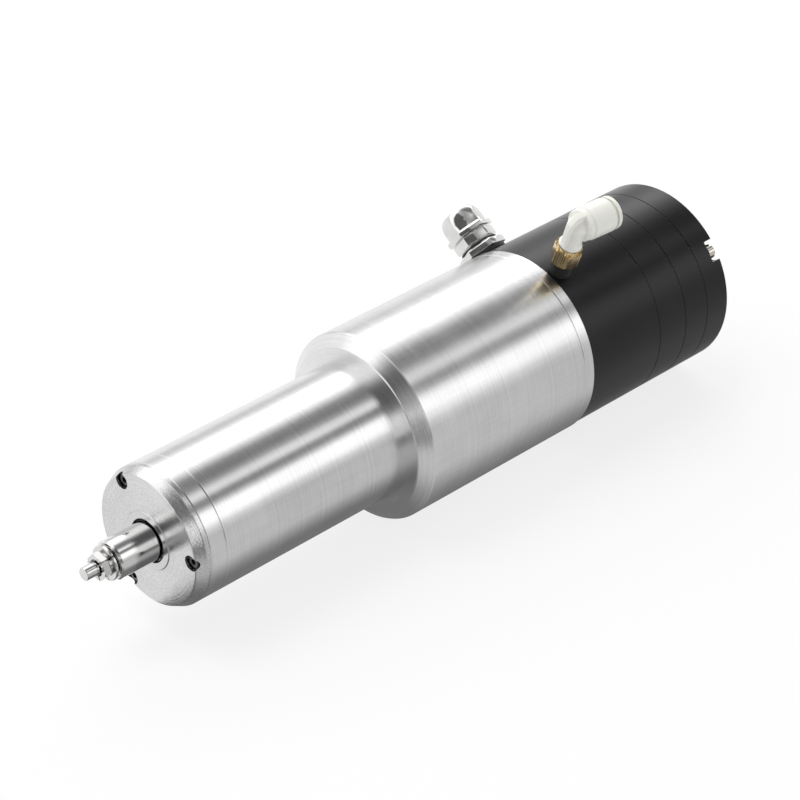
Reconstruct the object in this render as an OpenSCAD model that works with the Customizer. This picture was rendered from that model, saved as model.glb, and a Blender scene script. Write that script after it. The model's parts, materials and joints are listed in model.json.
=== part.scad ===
// High-speed motor spindle with an air-released tool clamp.
// Millimetres. +X runs along the spindle axis from the tool to the rear, +Z is up,
// and the origin lies on the axis in the plane of the shoulder between nose and motor housing.

/* [Front end] */
// Diameter of the clamping nose
nose_d = 65; // [62:0.5:70]
// Length of the nose barrel in front of the shoulder
barrel_l = 104.8; // [95:0.1:130]
// Thickness of the bearing clamp ring in front of the barrel
clamp_ring_t = 8.7; // [7:0.1:12]
// Thickness of the front cover
cover_t = 7.3; // [6:0.1:10]
// Length along the axis of the front cover's bevel
cover_bevel_l = 5; // [1:0.1:5.2]
// Depth across the radius of the front cover's bevel
cover_bevel_h = 2.4; // [0.5:0.1:3]
// Diameter of the labyrinth ring seen on the front face
labyrinth_d = 27.4; // [24:0.2:32]
// Hole that the shaft nose comes out of
shaft_hole_d = 20.6; // [19:0.2:22]
// How far the labyrinth ring stands out of the face
labyrinth_h = 0.3; // [0.1:0.1:0.6]
// Circle of the cover screws
cover_screw_circle_d = 54.8; // [50:0.2:56]
// Angle of the first cover screw, from +Z towards -Y
cover_screw_angle = -34; // [-60:1:60]
// Depth of the cover screws' counterbores
cover_screw_sink = 4.4; // [3.2:0.1:4.5]
// Bevel on the edges beside the seams
seam_bevel = 0.3; // [0.1:0.05:0.35]

/* [Motor housing] */
// Outer diameter of the motor housing
housing_d = 90; // [86:1:110]
// Wall of the motor housing
housing_wall = 5; // [4.5:0.1:7]
// Length of the motor housing tube
housing_l = 102.8; // [95:0.1:130]
// Thickness of the motor housing's front wall
housing_front_t = 12; // [10:0.5:14]
// Bevel round the shoulder
shoulder_bevel = 5.5; // [2:0.1:6]
// Width of the rear shield's rim
shield_rim_t = 5.8; // [5:0.1:9]
// Thickness of the nose barrel's flange inside the housing
barrel_flange_t = 6; // [4:0.5:6]
// Diameter of the nose barrel's pilot in the housing's front wall
pilot_d = 67; // [66:0.2:67.6]
// Distance from the bore of the motor housing to the circle of the flange screws
flange_screw_edge = 3.8; // [3.6:0.1:4.2]

/* [Rear housings] */
// Diameter of the black rear housings
rear_d = 89; // [87:0.5:100]
// Length of the connection housing
connection_l = 46; // [40:0.1:60]
// Length of the front cylinder ring
front_cylinder_l = 18.2; // [17:0.1:22]
// Length of the rear cylinder ring
rear_cylinder_l = 15.3; // [15:0.1:20]
// Thickness of the rear cover
rear_cover_t = 14.9; // [12:0.1:20]
// Wall of the connection housing
connection_wall = 6.5; // [6.2:0.1:7]
// Circle of the tie screws
tie_circle_d = 82.6; // [82:0.2:83]
// Angle of the first tie screw, from +Z towards -Y
tie_angle = 53; // [40:1:70]
// Depth of the tie screws' rim pockets
tie_pocket_depth = 5.4; // [4.5:0.1:7]
// Width of the tie screws' rim pockets
tie_pocket_w = 10.3; // [8:0.1:12]

/* [Bearings] */
// Bore of the bearings
bearing_bore_d = 20; // [20:0.5:20.5]
// Outer diameter of a front bearing
front_bearing_d = 42; // [41:0.5:43]
// Width of a front bearing
front_bearing_w = 12; // [11:0.5:13]
// Ball diameter of a front bearing
front_ball_d = 6.35; // [5.5:0.05:6.6]
// Number of balls in a front bearing
front_ball_count = 11; // [8:1:12]
// Outer diameter of a rear bearing
rear_bearing_d = 37; // [36:0.5:38]
// Width of a rear bearing
rear_bearing_w = 9; // [8.5:0.5:10]
// Ball diameter of a rear bearing
rear_ball_d = 4.76; // [4:0.02:5]
// Number of balls in a rear bearing
rear_ball_count = 13; // [9:1:14]

/* [Shaft] */
// Diameter of the shaft nose
shaft_nose_d = 18; // [17:0.5:19]
// How far the shaft nose stands out of the front face
shaft_nose_l = 21.2; // [15:0.1:28]
// Diameter of the shaft between the front bearings and the rotor
shaft_d = 24; // [23:0.5:26]
// Diameter of the spring chamber in the shaft
chamber_d = 15.2; // [15:0.1:16]

/* [Motor] */
// Room beside the cores for the winding's end turns
end_turn_room = 16.4; // [15:0.2:20]
// Bore of the stator core
stator_bore_d = 44; // [42:0.5:46]
// Air gap between the rotor and the stator
air_gap = 0.6; // [0.4:0.1:1]
// Number of stator slots
slot_count = 24; // [12:6:24]
// Width of a stator slot
slot_w = 3.4; // [2.8:0.1:3.6]

/* [Tool clamp] */
// Diameter of the clamped tool shank
tool_d = 6; // [3:0.1:6]
// How far the tool shank stands out of the collet
tool_out = 6.8; // [2:0.1:30]
// How deep the tool shank sits in the collet
tool_in = 24; // [15:1:28]
// Width of the collet head's hexagon across its flats
collet_hex_af = 11; // [10:0.1:12]
// Length of the collet head's hexagon
collet_hex_l = 3.4; // [3:0.1:7]
// Width of the collet's slits
collet_slit_w = 0.7; // [0.4:0.1:1]
// Angle of the first collet slit, from +Z towards -Y
collet_slit_angle = 41; // [0:1:60]
// Stroke of the drawbar when the tool is released
drawbar_stroke = 1.5; // [0.5:0.1:2]
// Number of disc springs
disc_count = 60; // [30:1:60]
// Room along the axis for one disc spring
disc_pitch = 1.5; // [1.3:0.05:1.5]

/* [Release cylinder] */
// Bore of the release cylinder
cylinder_d = 68; // [60:1:70]
// Thickness of a piston
piston_t = 7; // [6:0.5:7.5]
// Diameter of the piston rod
rod_d = 12; // [10:0.5:14]
// Gap between the piston rod and the drawbar while the shaft turns
rod_gap = 1; // [0.5:0.1:1.2]
// Gap between a resting piston and the wall behind it
piston_rest_gap = 0.4; // [0.2:0.1:0.6]

/* [Air elbow] */
// Distance from the front of the black housings to the elbow's leg
elbow_setback = 6.4; // [5.9:0.1:9.4]
// Angle of the elbow's leg, from +Z towards -Y
elbow_angle = 20.5; // [0:0.5:45]
// Turn of the tube socket about the elbow's leg
elbow_turn = -3; // [-20:1:20]
// Width of the brass hexagon across its flats
stud_hex_af = 12; // [11:0.5:13]
// Height of the tube socket's axis above the rear housing
socket_height = 28.8; // [26:0.2:34]
// Outer diameter of the tube socket
socket_d = 16.2; // [15.4:0.2:17]
// Diameter of the air tube
tube_d = 8; // [6:0.5:8]
// Distance from the elbow's leg to the open end of the release ring
socket_reach = 21.5; // [20:0.5:26]

/* [Cable gland] */
// Distance from the front of the black housings to the gland's axis
gland_setback = 12.4; // [11.4:0.1:17.4]
// Angle of the gland, from +Z towards -Y
gland_angle = -54; // [-60:1:-45]
// Thread diameter of the gland
gland_thread_d = 16; // [14:0.5:16]
// Width of the gland's lower hexagon across its flats
gland_base_af = 20.5; // [20:0.5:24]
// Width of the gland's middle hexagon across its flats
gland_body_af = 19.2; // [18:0.2:20]
// Width of the gland nut's hexagon across its flats
gland_nut_af = 20; // [20:0.5:22]
// Cable diameter that the gland takes
cable_d = 8; // [5:0.5:9]

/* [Fits] */
// Radial gap between parts that are pressed or centred in one another
seat = 0.02; // [0.01:0.01:0.05]
// Radial gap between parts that slide or turn in one another
running = 0.05; // [0.03:0.01:0.1]
// Radial gap between a ball and its groove
ball_gap = 0.06; // [0.04:0.01:0.1]
// Radial gap round the shank of a screw
screw_gap = 0.2; // [0.1:0.05:0.3]

/* [Hidden] */

round_fn = 96;
small_fn = 48;
cut = 1;

// Stations along the axis
barrel_x = -barrel_l;
clamp_x = barrel_x - clamp_ring_t;
face_x = clamp_x - cover_t;
shield_x = housing_l;
connection_x = shield_x + shield_rim_t;
front_cylinder_x = connection_x + connection_l;
rear_cylinder_x = front_cylinder_x + front_cylinder_l;
rear_cover_x = rear_cylinder_x + rear_cylinder_l;
rear_x = rear_cover_x + rear_cover_t;
elbow_x = connection_x + elbow_setback;
gland_x = connection_x + gland_setback;

// Radii of the outer skins
nose_r = nose_d / 2;
housing_r = housing_d / 2;
housing_inner_r = housing_r - housing_wall;
rear_r = rear_d / 2;
connection_inner_r = rear_r - connection_wall;
cylinder_r = cylinder_d / 2;

// Front bearings, a pair behind the clamp ring's spigot
spigot_l = 2;
bearing_bore_r = bearing_bore_d / 2;
front_bearing_r = front_bearing_d / 2;
front_bearing_x = barrel_x + spigot_l;
front_bearing_end = front_bearing_x + 2 * front_bearing_w;
front_pitch_r = (bearing_bore_r + front_bearing_r) / 2;
race_share = 0.34;
cage_share = 0.23;
front_inner_race_r = front_pitch_r - front_ball_d * race_share;
front_outer_race_r = front_pitch_r + front_ball_d * race_share;
front_cage_w = front_ball_d + 1.6;
contact_relief = 0.8;
pair_gap = 0.04;

// Rear bearings, a pair in the rear shield's hub
rear_bearing_r = rear_bearing_d / 2;
hub_lip_t = 1.6;
preload_t = 0.8;
shield_web_t = shield_rim_t + 4;
shield_front_x = connection_x - shield_web_t;
rear_bearing_x = shield_front_x + hub_lip_t + preload_t;
rear_bearing_end = rear_bearing_x + 2 * rear_bearing_w;
rear_pitch_r = (bearing_bore_r + rear_bearing_r) / 2;
rear_inner_race_r = rear_pitch_r - rear_ball_d * race_share;
rear_outer_race_r = rear_pitch_r + rear_ball_d * race_share;
rear_cage_w = rear_ball_d + 1.2;
hub_wall = 5.5;
hub_r = rear_bearing_r + hub_wall;
hub_end = rear_bearing_end + 1.6;

// Shaft, drawn from its nose to its rear end
shaft_nose_r = shaft_nose_d / 2;
shaft_front_x = face_x - shaft_nose_l;
shaft_r = shaft_d / 2;
thread_r = bearing_bore_r - 0.4;
bearing_shoulder_r = bearing_bore_r + 2.8;
bearing_shoulder_l = 5;
front_nut_l = 9;
rear_nut_l = 7;
nut_r = front_pitch_r;
rotor_seat_r = shaft_r - 1;
rotor_stop_r = shaft_r + 1;
rotor_stop_l = 3;
shaft_end_x = rear_bearing_end + rear_nut_l + 3;
chamber_r = chamber_d / 2;
chamber_x = front_bearing_end + 8.8;
nose_bevel = 0.8;
cover_head_gap = 0.9;
edge_break = 0.3;

// Motor, with the cores between the flange screws and the rear shield
flange_x = housing_front_t;
flange_end = flange_x + barrel_flange_t;
flange_screw_r = housing_inner_r - flange_screw_edge;
core_x = flange_end + end_turn_room;
core_end = shield_front_x - end_turn_room;
core_l = core_end - core_x;
stator_bore_r = stator_bore_d / 2;
rotor_r = stator_bore_r - air_gap;
slot_depth = 11;
slot_floor_r = stator_bore_r + slot_depth;
slot_mouth_w = 1.2;
slot_mouth_l = 2;
winding_gap = 0.15;
winding_out_r = slot_floor_r + 2.5;
winding_in_r = stator_bore_r + slot_mouth_l;
winding_l = 11;
winding_round = 3;
end_ring_l = 5.5;
end_ring_r = rotor_r - 0.9;

// Collet and drawbar
tool_r = tool_d / 2;
collet_tail_r = 5;
collet_cone_r = 7.3;
collet_cone_l = 15;
collet_l = 39;
collet_tail_x = shaft_front_x + collet_l;
collet_flange_r = 8;
collet_flange_t = 1;
collet_flange_gap = 1.6;
collet_throat_r = 6;
collet_throat_l = 1;
collet_neck_r = 4.9;
collet_neck_l = 1;
collet_flange_x = shaft_front_x - collet_flange_gap - collet_flange_t;
collet_hex_x = collet_flange_x - collet_neck_l - collet_hex_l;
collet_mouth_r = tool_r + 0.9;
collet_mouth_l = 2.4;
collet_thread_r = 3;
collet_thread_l = 8;
slit_l = collet_l - collet_thread_l - 2;
drawbar_r = 3.9;
drawbar_head_r = chamber_r - 0.15;
drawbar_head_l = 7;
drawbar_tail_r = 5;
drawbar_tail_out = drawbar_stroke + 0.5;
disc_t = 1;
disc_cone = 0.35;
disc_end_gap = 0.1;
disc_out_r = chamber_r - 0.2;
disc_in_r = drawbar_r + 0.2;
spring_end = chamber_x + disc_count * disc_pitch + disc_end_gap;
guide_l = 10;
drawbar_end_x = shaft_end_x + drawbar_tail_out;

// Release cylinder
rod_r = rod_d / 2;
rod_neck_r = rod_r - 1;
rod_tip_x = drawbar_end_x + rod_gap;
cylinder_floor_t = 7;
cylinder_floor_x = front_cylinder_x - 6;
front_chamber_x = cylinder_floor_x + cylinder_floor_t;
divider_spigot_l = 4.5;
divider_x = rear_cylinder_x - divider_spigot_l;
rear_chamber_x = rear_cylinder_x + 1.7;
cover_spigot_l = 1.5;
rear_chamber_end = rear_cover_x - cover_spigot_l;
front_piston_x = divider_x - piston_rest_gap - piston_t;
rear_piston_x = rear_chamber_end - piston_rest_gap - piston_t;
piston_r = cylinder_r - 0.3;
piston_bevel = 1.5;
seal_cord_r = 1.3;
seal_ring_r = cylinder_r - 0.15 - seal_cord_r;
rod_seal_cord_r = 1;
rod_seal_ring_r = rod_r + 0.2 + rod_seal_cord_r;
piston_nut_l = 3;
piston_nut_r = 8;
spring_pocket_in_r = 9;
spring_pocket_out_r = 17;
spring_pocket_depth = 4;
spring_wire_r = 0.8;
spring_coil_r = (spring_pocket_in_r + spring_pocket_out_r) / 2;
spring_gap = 0.2;
spring_turns = 3;
spring_room = front_piston_x - front_chamber_x + spring_pocket_depth;
tie_r = tie_circle_d / 2;
duct_r = 1.5;
duct_circle_r = rear_r - 3.6;

// Screw sizes: thread radius, head radius, head height and key size across its flats
m3 = [1.5, 2.75, 3, 2.5];
m4 = [2, 3.5, 4, 3];
cover_screw_l = 17;
barrel_screw_l = 8;
shield_screw_l = 12;
connection_screw_l = 14;
tie_screw_into = 12;
shield_screw_circle_r = housing_inner_r + 1.9;
connection_screw_circle_r = (hub_r + connection_inner_r) / 2 + 1;
connection_flange_t = 6;
lead_hole_r = 4.5;

// Air elbow, measured from the spindle axis along its leg
stud_thread_r = 4.86;
stud_bottom = rear_r - 4.6;
stud_hex_z = rear_r + 7;
stud_hex_h = 8.1;
crimp_z = stud_hex_z + stud_hex_h;
crimp_h = 2.2;
crimp_r = 6.2;
crimp_notches = 8;
leg_z = crimp_z + crimp_h + 0.1;
leg_r = 5.5;
journal_r = 3.5;
journal_l = 5;
stud_bore_r = 1.5;
stud_ring_cord_r = 0.7;
stud_ring_r = journal_r - 0.05 - stud_ring_cord_r;
socket_z = rear_r + socket_height;
socket_r = socket_d / 2;
socket_collar_r = socket_r - 0.5;
socket_collar_end = 4.2;
tube_r = tube_d / 2;
tube_stop = 2.6;
seal_room_x = 6.2;
seal_room_r = 6.2;
sleeve_room_x = 11.6;
sleeve_r = tube_r + 1.3;
release_flange_t = 2.3;
release_stroke = 1;
socket_end = socket_reach - release_flange_t - release_stroke - 0.2;
tube_seal_cord_r = 1;
grab_ring_x = 9.6;
grab_ring_t = 0.5;
scallop_depth = 1.4;
scallop_top_r = 4.4;
scallop_reach = 5;
leg_straight = 3.2;
knee_rise = 3;
knee_r = 6.5;
knee_top_r = 7.2;
knee_bevel = 3.3;
rib_out = 0.4;
rib_t = 2.6;

// Cable gland, measured from the spindle axis along its own axis
gland_seat_z = rear_r - 0.9;
gland_gasket_r = 10.7;
gland_seat_r = gland_gasket_r + 1.2;
gland_gasket_t = 2;
gland_base_z = gland_seat_z + gland_gasket_t;
gland_base_h = 4.1;
gland_base_turn = -7;
gland_neck_z = gland_base_z + gland_base_h;
gland_neck_h = 2.4;
gland_neck_r = 8.7;
gland_body_z = gland_neck_z + gland_neck_h;
gland_body_h = 4;
gland_nut_z = gland_body_z + gland_body_h + 0.4;
gland_nut_band = 3.2;
gland_dome_h = 9.9;
gland_dome_r = 10.2;
gland_top_r = 6.6;
gland_ring_cord_r = 0.9;
gland_bore_r = 5.6;
gland_upper_thread_r = 8.2;
gland_upper_l = 5.5;
gland_wall_end = connection_inner_r - 1.5;
gland_turn = -91;
gland_nut_thread_top = gland_nut_z + 7.5;
cable_r = cable_d / 2;
gland_insert_r = 6.7;

silver = [0.80, 0.81, 0.82];
steel = [0.66, 0.67, 0.69];
black = [0.17, 0.17, 0.18];
brass = [0.72, 0.56, 0.30];
copper = [0.75, 0.42, 0.22];
white = [0.93, 0.93, 0.90];
rubber = [0.08, 0.08, 0.08];
bronze = [0.62, 0.48, 0.28];

// Shared shapes

// A body turned about the spindle axis, from points of radius and station
module turned(points) {
    rotate([0, 90, 0]) rotate_extrude($fn = round_fn) polygon(points);
}

module ring(inner_r, outer_r, from_x, to_x) {
    turned([[inner_r, from_x], [outer_r, from_x], [outer_r, to_x], [inner_r, to_x]]);
}

module rod(r, from_x, to_x) {
    translate([from_x, 0, 0]) rotate([0, 90, 0]) cylinder(r = r, h = to_x - from_x, $fn = small_fn);
}

module torus_at(x, ring_r, cord_r) {
    translate([x, 0, 0]) rotate([0, 90, 0]) rotate_extrude($fn = round_fn)
        translate([ring_r, 0]) circle(r = cord_r, $fn = small_fn);
}

// Copies spread evenly round the spindle axis
module spread(count, first = 0) {
    for (i = [0 : count - 1]) rotate([first + 360 * i / count, 0, 0]) children();
}

// Something that stands on a circle round the axis
module on_circle(count, first, circle_r) {
    spread(count, first) translate([0, 0, circle_r]) children();
}

module hexagon(af, h) {
    cylinder(d = af / cos(30), h = h, $fn = 6);
}

// A hexagon with its corners bevelled at both ends
module bevelled_hexagon(af, h, bevel) {
    corner_r = af / 2 / cos(30);
    intersection() {
        hexagon(af, h);
        rotate_extrude($fn = round_fn) polygon([
            [0, 0], [corner_r - bevel, 0], [corner_r, bevel * 0.6],
            [corner_r, h - bevel * 0.6], [corner_r - bevel, h], [0, h]
        ]);
    }
}

// A socket head screw that points towards -X, with its head's seat at seat_x
module socket_screw(size, seat_x, shank_l) {
    edge = 0.35;
    difference() {
        turned([
            [0, seat_x - shank_l], [size[0] - edge, seat_x - shank_l], [size[0], seat_x - shank_l + edge],
            [size[0], seat_x], [size[1], seat_x], [size[1], seat_x + size[2] - edge],
            [size[1] - edge, seat_x + size[2]], [0, seat_x + size[2]]
        ]);
        translate([seat_x + size[2] * 0.45, 0, 0]) rotate([0, 90, 0]) hexagon(size[3], size[2]);
    }
}

// The hole that a screw's shank takes, from its seat towards -X
module screw_hole(r, seat_x, depth) {
    rod(r, seat_x - depth, seat_x + cut);
}

// One ball bearing's inner race, with its grooved track
module inner_race(x, width, outer_r, pitch_r, ball_d) {
    difference() {
        ring(bearing_bore_r + seat, outer_r, x, x + width - pair_gap);
        torus_at(x + width / 2, pitch_r, ball_d / 2 + ball_gap);
    }
}

// One ball bearing's outer race, relieved on one side where relief is not zero
module outer_race(x, width, inner_r, outer_r, pitch_r, ball_d, relief) {
    difference() {
        turned([
            [inner_r, x], [outer_r - seat, x], [outer_r - seat, x + width - pair_gap],
            [inner_r + relief, x + width - pair_gap], [inner_r, x + width / 2]
        ]);
        torus_at(x + width / 2, pitch_r, ball_d / 2 + ball_gap);
    }
}

module ball_row(x, pitch_r, ball_d, count) {
    on_circle(count, 0, pitch_r) translate([x, 0, 0]) sphere(d = ball_d, $fn = small_fn);
}

// A bearing cage: a ring with one round pocket for each ball
module cage(x, width, pitch_r, ball_d, count) {
    half = ball_d * cage_share;
    difference() {
        ring(pitch_r - half, pitch_r + half, x - width / 2, x + width / 2);
        ball_row(x, pitch_r, ball_d + 2 * ball_gap, count);
    }
}

// Front end

module front_cover() {
    lean = cover_bevel_h / cover_bevel_l;
    color(silver) difference() {
        turned([
            [labyrinth_d / 2 + seat, face_x], [nose_r - cover_bevel_h - edge_break, face_x],
            [nose_r - cover_bevel_h + edge_break * lean, face_x + edge_break],
            [nose_r - edge_break * lean, face_x + cover_bevel_l - edge_break],
            [nose_r, face_x + cover_bevel_l + edge_break / 2],
            [nose_r, clamp_x - seam_bevel], [nose_r - seam_bevel, clamp_x],
            [labyrinth_d / 2 + seat, clamp_x]
        ]);
        on_circle(3, cover_screw_angle, cover_screw_circle_d / 2) {
            rod(m3[1] + cover_head_gap, face_x - cut, face_x + cover_screw_sink);
            rod(m3[0] + screw_gap, face_x, clamp_x + cut);
        }
    }
}

// The ring leaves a narrow gap round the shaft and traps dirt in two grooves
module labyrinth_ring() {
    inner_r = shaft_hole_d / 2;
    outer_r = labyrinth_d / 2;
    groove = 0.9;
    step = cover_t / 6;
    color(silver) turned([
        [inner_r, face_x - labyrinth_h], [outer_r - 0.3, face_x - labyrinth_h],
        [outer_r, face_x - labyrinth_h + 0.3], [outer_r, clamp_x], [inner_r, clamp_x],
        [inner_r, clamp_x - step], [inner_r + groove, clamp_x - step],
        [inner_r + groove, clamp_x - 2 * step], [inner_r, clamp_x - 2 * step],
        [inner_r, clamp_x - 3 * step], [inner_r + groove, clamp_x - 3 * step],
        [inner_r + groove, clamp_x - 4 * step], [inner_r, clamp_x - 4 * step]
    ]);
}

module cover_screws() {
    color(steel) on_circle(3, cover_screw_angle, cover_screw_circle_d / 2)
        mirror([1, 0, 0]) socket_screw(m3, -face_x - cover_screw_sink, cover_screw_l);
}

module clamp_ring() {
    color(silver) difference() {
        turned([
            [nut_r + 1.5, clamp_x], [nose_r - seam_bevel, clamp_x], [nose_r, clamp_x + seam_bevel],
            [nose_r, barrel_x - seam_bevel], [nose_r - seam_bevel, barrel_x],
            [front_bearing_r - seat, barrel_x], [front_bearing_r - seat, front_bearing_x],
            [front_outer_race_r + 0.5, front_bearing_x], [front_outer_race_r + 0.5, barrel_x - 1],
            [nut_r + 1.5, barrel_x - 1]
        ]);
        on_circle(3, cover_screw_angle, cover_screw_circle_d / 2)
            rod(m3[0] + screw_gap, clamp_x - cut, barrel_x + cut);
    }
}

module nose_barrel() {
    bore_r = front_outer_race_r + 0.4;
    hidden_r = shaft_r + 4;
    color(silver) difference() {
        turned([
            [front_bearing_r, barrel_x], [nose_r - seam_bevel, barrel_x],
            [nose_r, barrel_x + seam_bevel], [nose_r, 0], [pilot_d / 2, 0],
            [pilot_d / 2, flange_x], [housing_inner_r - seat, flange_x], [housing_inner_r - seat, flange_end],
            [hidden_r, flange_end], [hidden_r, front_bearing_end + 4],
            [bore_r, front_bearing_end + 4], [bore_r, front_bearing_end],
            [front_bearing_r, front_bearing_end]
        ]);
        on_circle(3, cover_screw_angle, cover_screw_circle_d / 2)
            rod(m3[0] + seat, barrel_x - cut, face_x + cover_screw_sink + cover_screw_l + 1.5);
        on_circle(6, 0, flange_screw_r) rod(m4[0] + screw_gap, flange_x - cut, flange_end + cut);
    }
}

module barrel_screws() {
    color(steel) on_circle(6, 0, flange_screw_r)
        socket_screw(m4, flange_end, barrel_flange_t + barrel_screw_l);
}

module front_outer_races() {
    color(steel) {
        outer_race(
            front_bearing_x, front_bearing_w, front_outer_race_r, front_bearing_r,
            front_pitch_r, front_ball_d, contact_relief
        );
        outer_race(
            front_bearing_x + front_bearing_w, front_bearing_w, front_outer_race_r,
            front_bearing_r, front_pitch_r, front_ball_d, contact_relief
        );
    }
}

module front_inner_races() {
    color(steel) for (i = [0, 1])
        inner_race(
            front_bearing_x + i * front_bearing_w, front_bearing_w,
            front_inner_race_r, front_pitch_r, front_ball_d
        );
}

module front_balls() {
    color(steel) for (i = [0.5, 1.5])
        ball_row(front_bearing_x + i * front_bearing_w, front_pitch_r, front_ball_d, front_ball_count);
}

module front_cages() {
    color(bronze) for (i = [0.5, 1.5])
        cage(
            front_bearing_x + i * front_bearing_w, front_cage_w,
            front_pitch_r, front_ball_d, front_ball_count
        );
}

// Motor

module motor_housing() {
    color(silver) difference() {
        turned([
            [pilot_d / 2 + seat, 0], [housing_r - shoulder_bevel - edge_break, 0],
            [housing_r - shoulder_bevel + edge_break, edge_break],
            [housing_r - edge_break, shoulder_bevel - edge_break],
            [housing_r, shoulder_bevel + edge_break], [housing_r, shield_x - seam_bevel],
            [housing_r - seam_bevel, shield_x], [housing_inner_r, shield_x], [housing_inner_r, flange_x],
            [pilot_d / 2 + seat, flange_x]
        ]);
        on_circle(6, 0, flange_screw_r) screw_hole(m4[0] + seat, flange_x, barrel_screw_l + 1);
        on_circle(6, tie_angle + 30, shield_screw_circle_r)
            screw_hole(m3[0] + seat, shield_x, shield_screw_l);
    }
}

// Outline of one stator slot, lying on the +X side of its drawing plane
module slot_outline(margin) {
    slot_l = slot_floor_r - stator_bore_r - slot_mouth_l;
    translate([stator_bore_r + slot_mouth_l + margin, -slot_w / 2 + margin])
        square([slot_l - 2 * margin, slot_w - 2 * margin]);
}

module stator_core() {
    color(steel) translate([core_x, 0, 0]) rotate([0, 90, 0])
        linear_extrude(height = core_l) difference() {
            circle(r = housing_inner_r - seat, $fn = round_fn);
            circle(r = stator_bore_r, $fn = round_fn);
            for (i = [0 : slot_count - 1]) rotate(360 * i / slot_count) {
                slot_outline(0);
                translate([stator_bore_r - cut, -slot_mouth_w / 2])
                    square([slot_mouth_l + 2 * cut, slot_mouth_w]);
            }
        }
}

// One end turn of the winding: flat towards the core and rounded away from it
module end_turn() {
    width = winding_out_r - winding_in_r;
    rotate([0, 90, 0]) rotate_extrude($fn = round_fn) translate([winding_in_r, 0]) union() {
        square([width, winding_l - winding_round]);
        translate([winding_round, 0]) square([width - 2 * winding_round, winding_l]);
        for (u = [winding_round, width - winding_round])
            translate([u, winding_l - winding_round]) circle(r = winding_round, $fn = small_fn);
    }
}

module stator_winding() {
    overlap = 1;
    color(copper) union() {
        translate([core_x - winding_gap, 0, 0]) mirror([1, 0, 0]) end_turn();
        translate([core_end + winding_gap, 0, 0]) end_turn();
        translate([core_x - winding_gap - overlap, 0, 0]) rotate([0, 90, 0])
            linear_extrude(height = core_l + 2 * (winding_gap + overlap))
                for (i = [0 : slot_count - 1]) rotate(360 * i / slot_count) slot_outline(winding_gap);
    }
}

module rear_shield() {
    color(silver) difference() {
        turned([
            [rear_outer_race_r + 0.6, shield_front_x], [housing_inner_r - seat, shield_front_x],
            [housing_inner_r - seat, shield_x], [housing_r - seam_bevel, shield_x],
            [housing_r, shield_x + seam_bevel], [housing_r, connection_x - edge_break],
            [housing_r - edge_break, connection_x],
            [hub_r, connection_x], [hub_r, hub_end], [rear_bearing_r, hub_end],
            [rear_bearing_r, shield_front_x + hub_lip_t],
            [rear_outer_race_r + 0.6, shield_front_x + hub_lip_t]
        ]);
        on_circle(6, tie_angle + 30, shield_screw_circle_r) {
            rod(m3[0] + screw_gap, shield_x - cut, connection_x + cut);
            rod(m3[1] + 0.2, connection_x - m3[2] - 0.2, connection_x + cut);
        }
        on_circle(6, gland_angle + 30, connection_screw_circle_r)
            screw_hole(m4[0] + seat, connection_x, connection_screw_l - connection_flange_t + 1);
        rotate([gland_angle, 0, 0]) translate([0, 0, connection_screw_circle_r])
            rod(lead_hole_r, shield_front_x - cut, connection_x + cut);
    }
}

module shield_screws() {
    color(steel) on_circle(6, tie_angle + 30, shield_screw_circle_r)
        socket_screw(m3, connection_x - m3[2] - 0.2, shield_screw_l);
}

module rear_outer_races() {
    color(steel) for (i = [0, 1])
        outer_race(
            rear_bearing_x + i * rear_bearing_w, rear_bearing_w, rear_outer_race_r,
            rear_bearing_r, rear_pitch_r, rear_ball_d, 0
        );
}

module rear_inner_races() {
    color(steel) for (i = [0, 1])
        inner_race(
            rear_bearing_x + i * rear_bearing_w, rear_bearing_w,
            rear_inner_race_r, rear_pitch_r, rear_ball_d
        );
}

module rear_balls() {
    color(steel) for (i = [0.5, 1.5])
        ball_row(rear_bearing_x + i * rear_bearing_w, rear_pitch_r, rear_ball_d, rear_ball_count);
}

module rear_cages() {
    color(bronze) for (i = [0.5, 1.5])
        cage(
            rear_bearing_x + i * rear_bearing_w, rear_cage_w,
            rear_pitch_r, rear_ball_d, rear_ball_count
        );
}

// A coned washer between the hub's lip and the first rear bearing
module preload_spring() {
    inner_r = rear_outer_race_r + 0.7;
    outer_r = rear_bearing_r - 0.3;
    front = shield_front_x + hub_lip_t;
    washer_t = preload_t / 2;
    color(steel) turned([
        [inner_r, front], [outer_r, front + preload_t - washer_t],
        [outer_r, front + preload_t], [inner_r, front + washer_t]
    ]);
}

// Rotor

module spindle_shaft() {
    collet_seat_x = shaft_front_x + collet_cone_l;
    color(steel) turned([
        [collet_cone_r, shaft_front_x], [shaft_nose_r - nose_bevel, shaft_front_x],
        [shaft_nose_r, shaft_front_x + nose_bevel], [shaft_nose_r, clamp_x + 0.5],
        [thread_r, clamp_x + 0.5], [thread_r, front_bearing_x],
        [bearing_bore_r, front_bearing_x], [bearing_bore_r, front_bearing_end],
        [bearing_shoulder_r, front_bearing_end],
        [bearing_shoulder_r, front_bearing_end + bearing_shoulder_l],
        [shaft_r, front_bearing_end + bearing_shoulder_l],
        [shaft_r, core_x - end_ring_l - rotor_stop_l],
        [rotor_stop_r, core_x - end_ring_l - rotor_stop_l], [rotor_stop_r, core_x - end_ring_l],
        [rotor_seat_r, core_x - end_ring_l], [rotor_seat_r, rear_bearing_x],
        [bearing_bore_r, rear_bearing_x], [bearing_bore_r, rear_bearing_end],
        [thread_r, rear_bearing_end], [thread_r, shaft_end_x], [chamber_r, shaft_end_x],
        [chamber_r, chamber_x], [drawbar_r + 2 * running, chamber_x],
        [drawbar_r + 2 * running, collet_tail_x + 3], [collet_tail_r + running, collet_tail_x + 3],
        [collet_tail_r + running, collet_seat_x]
    ]);
}

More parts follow.
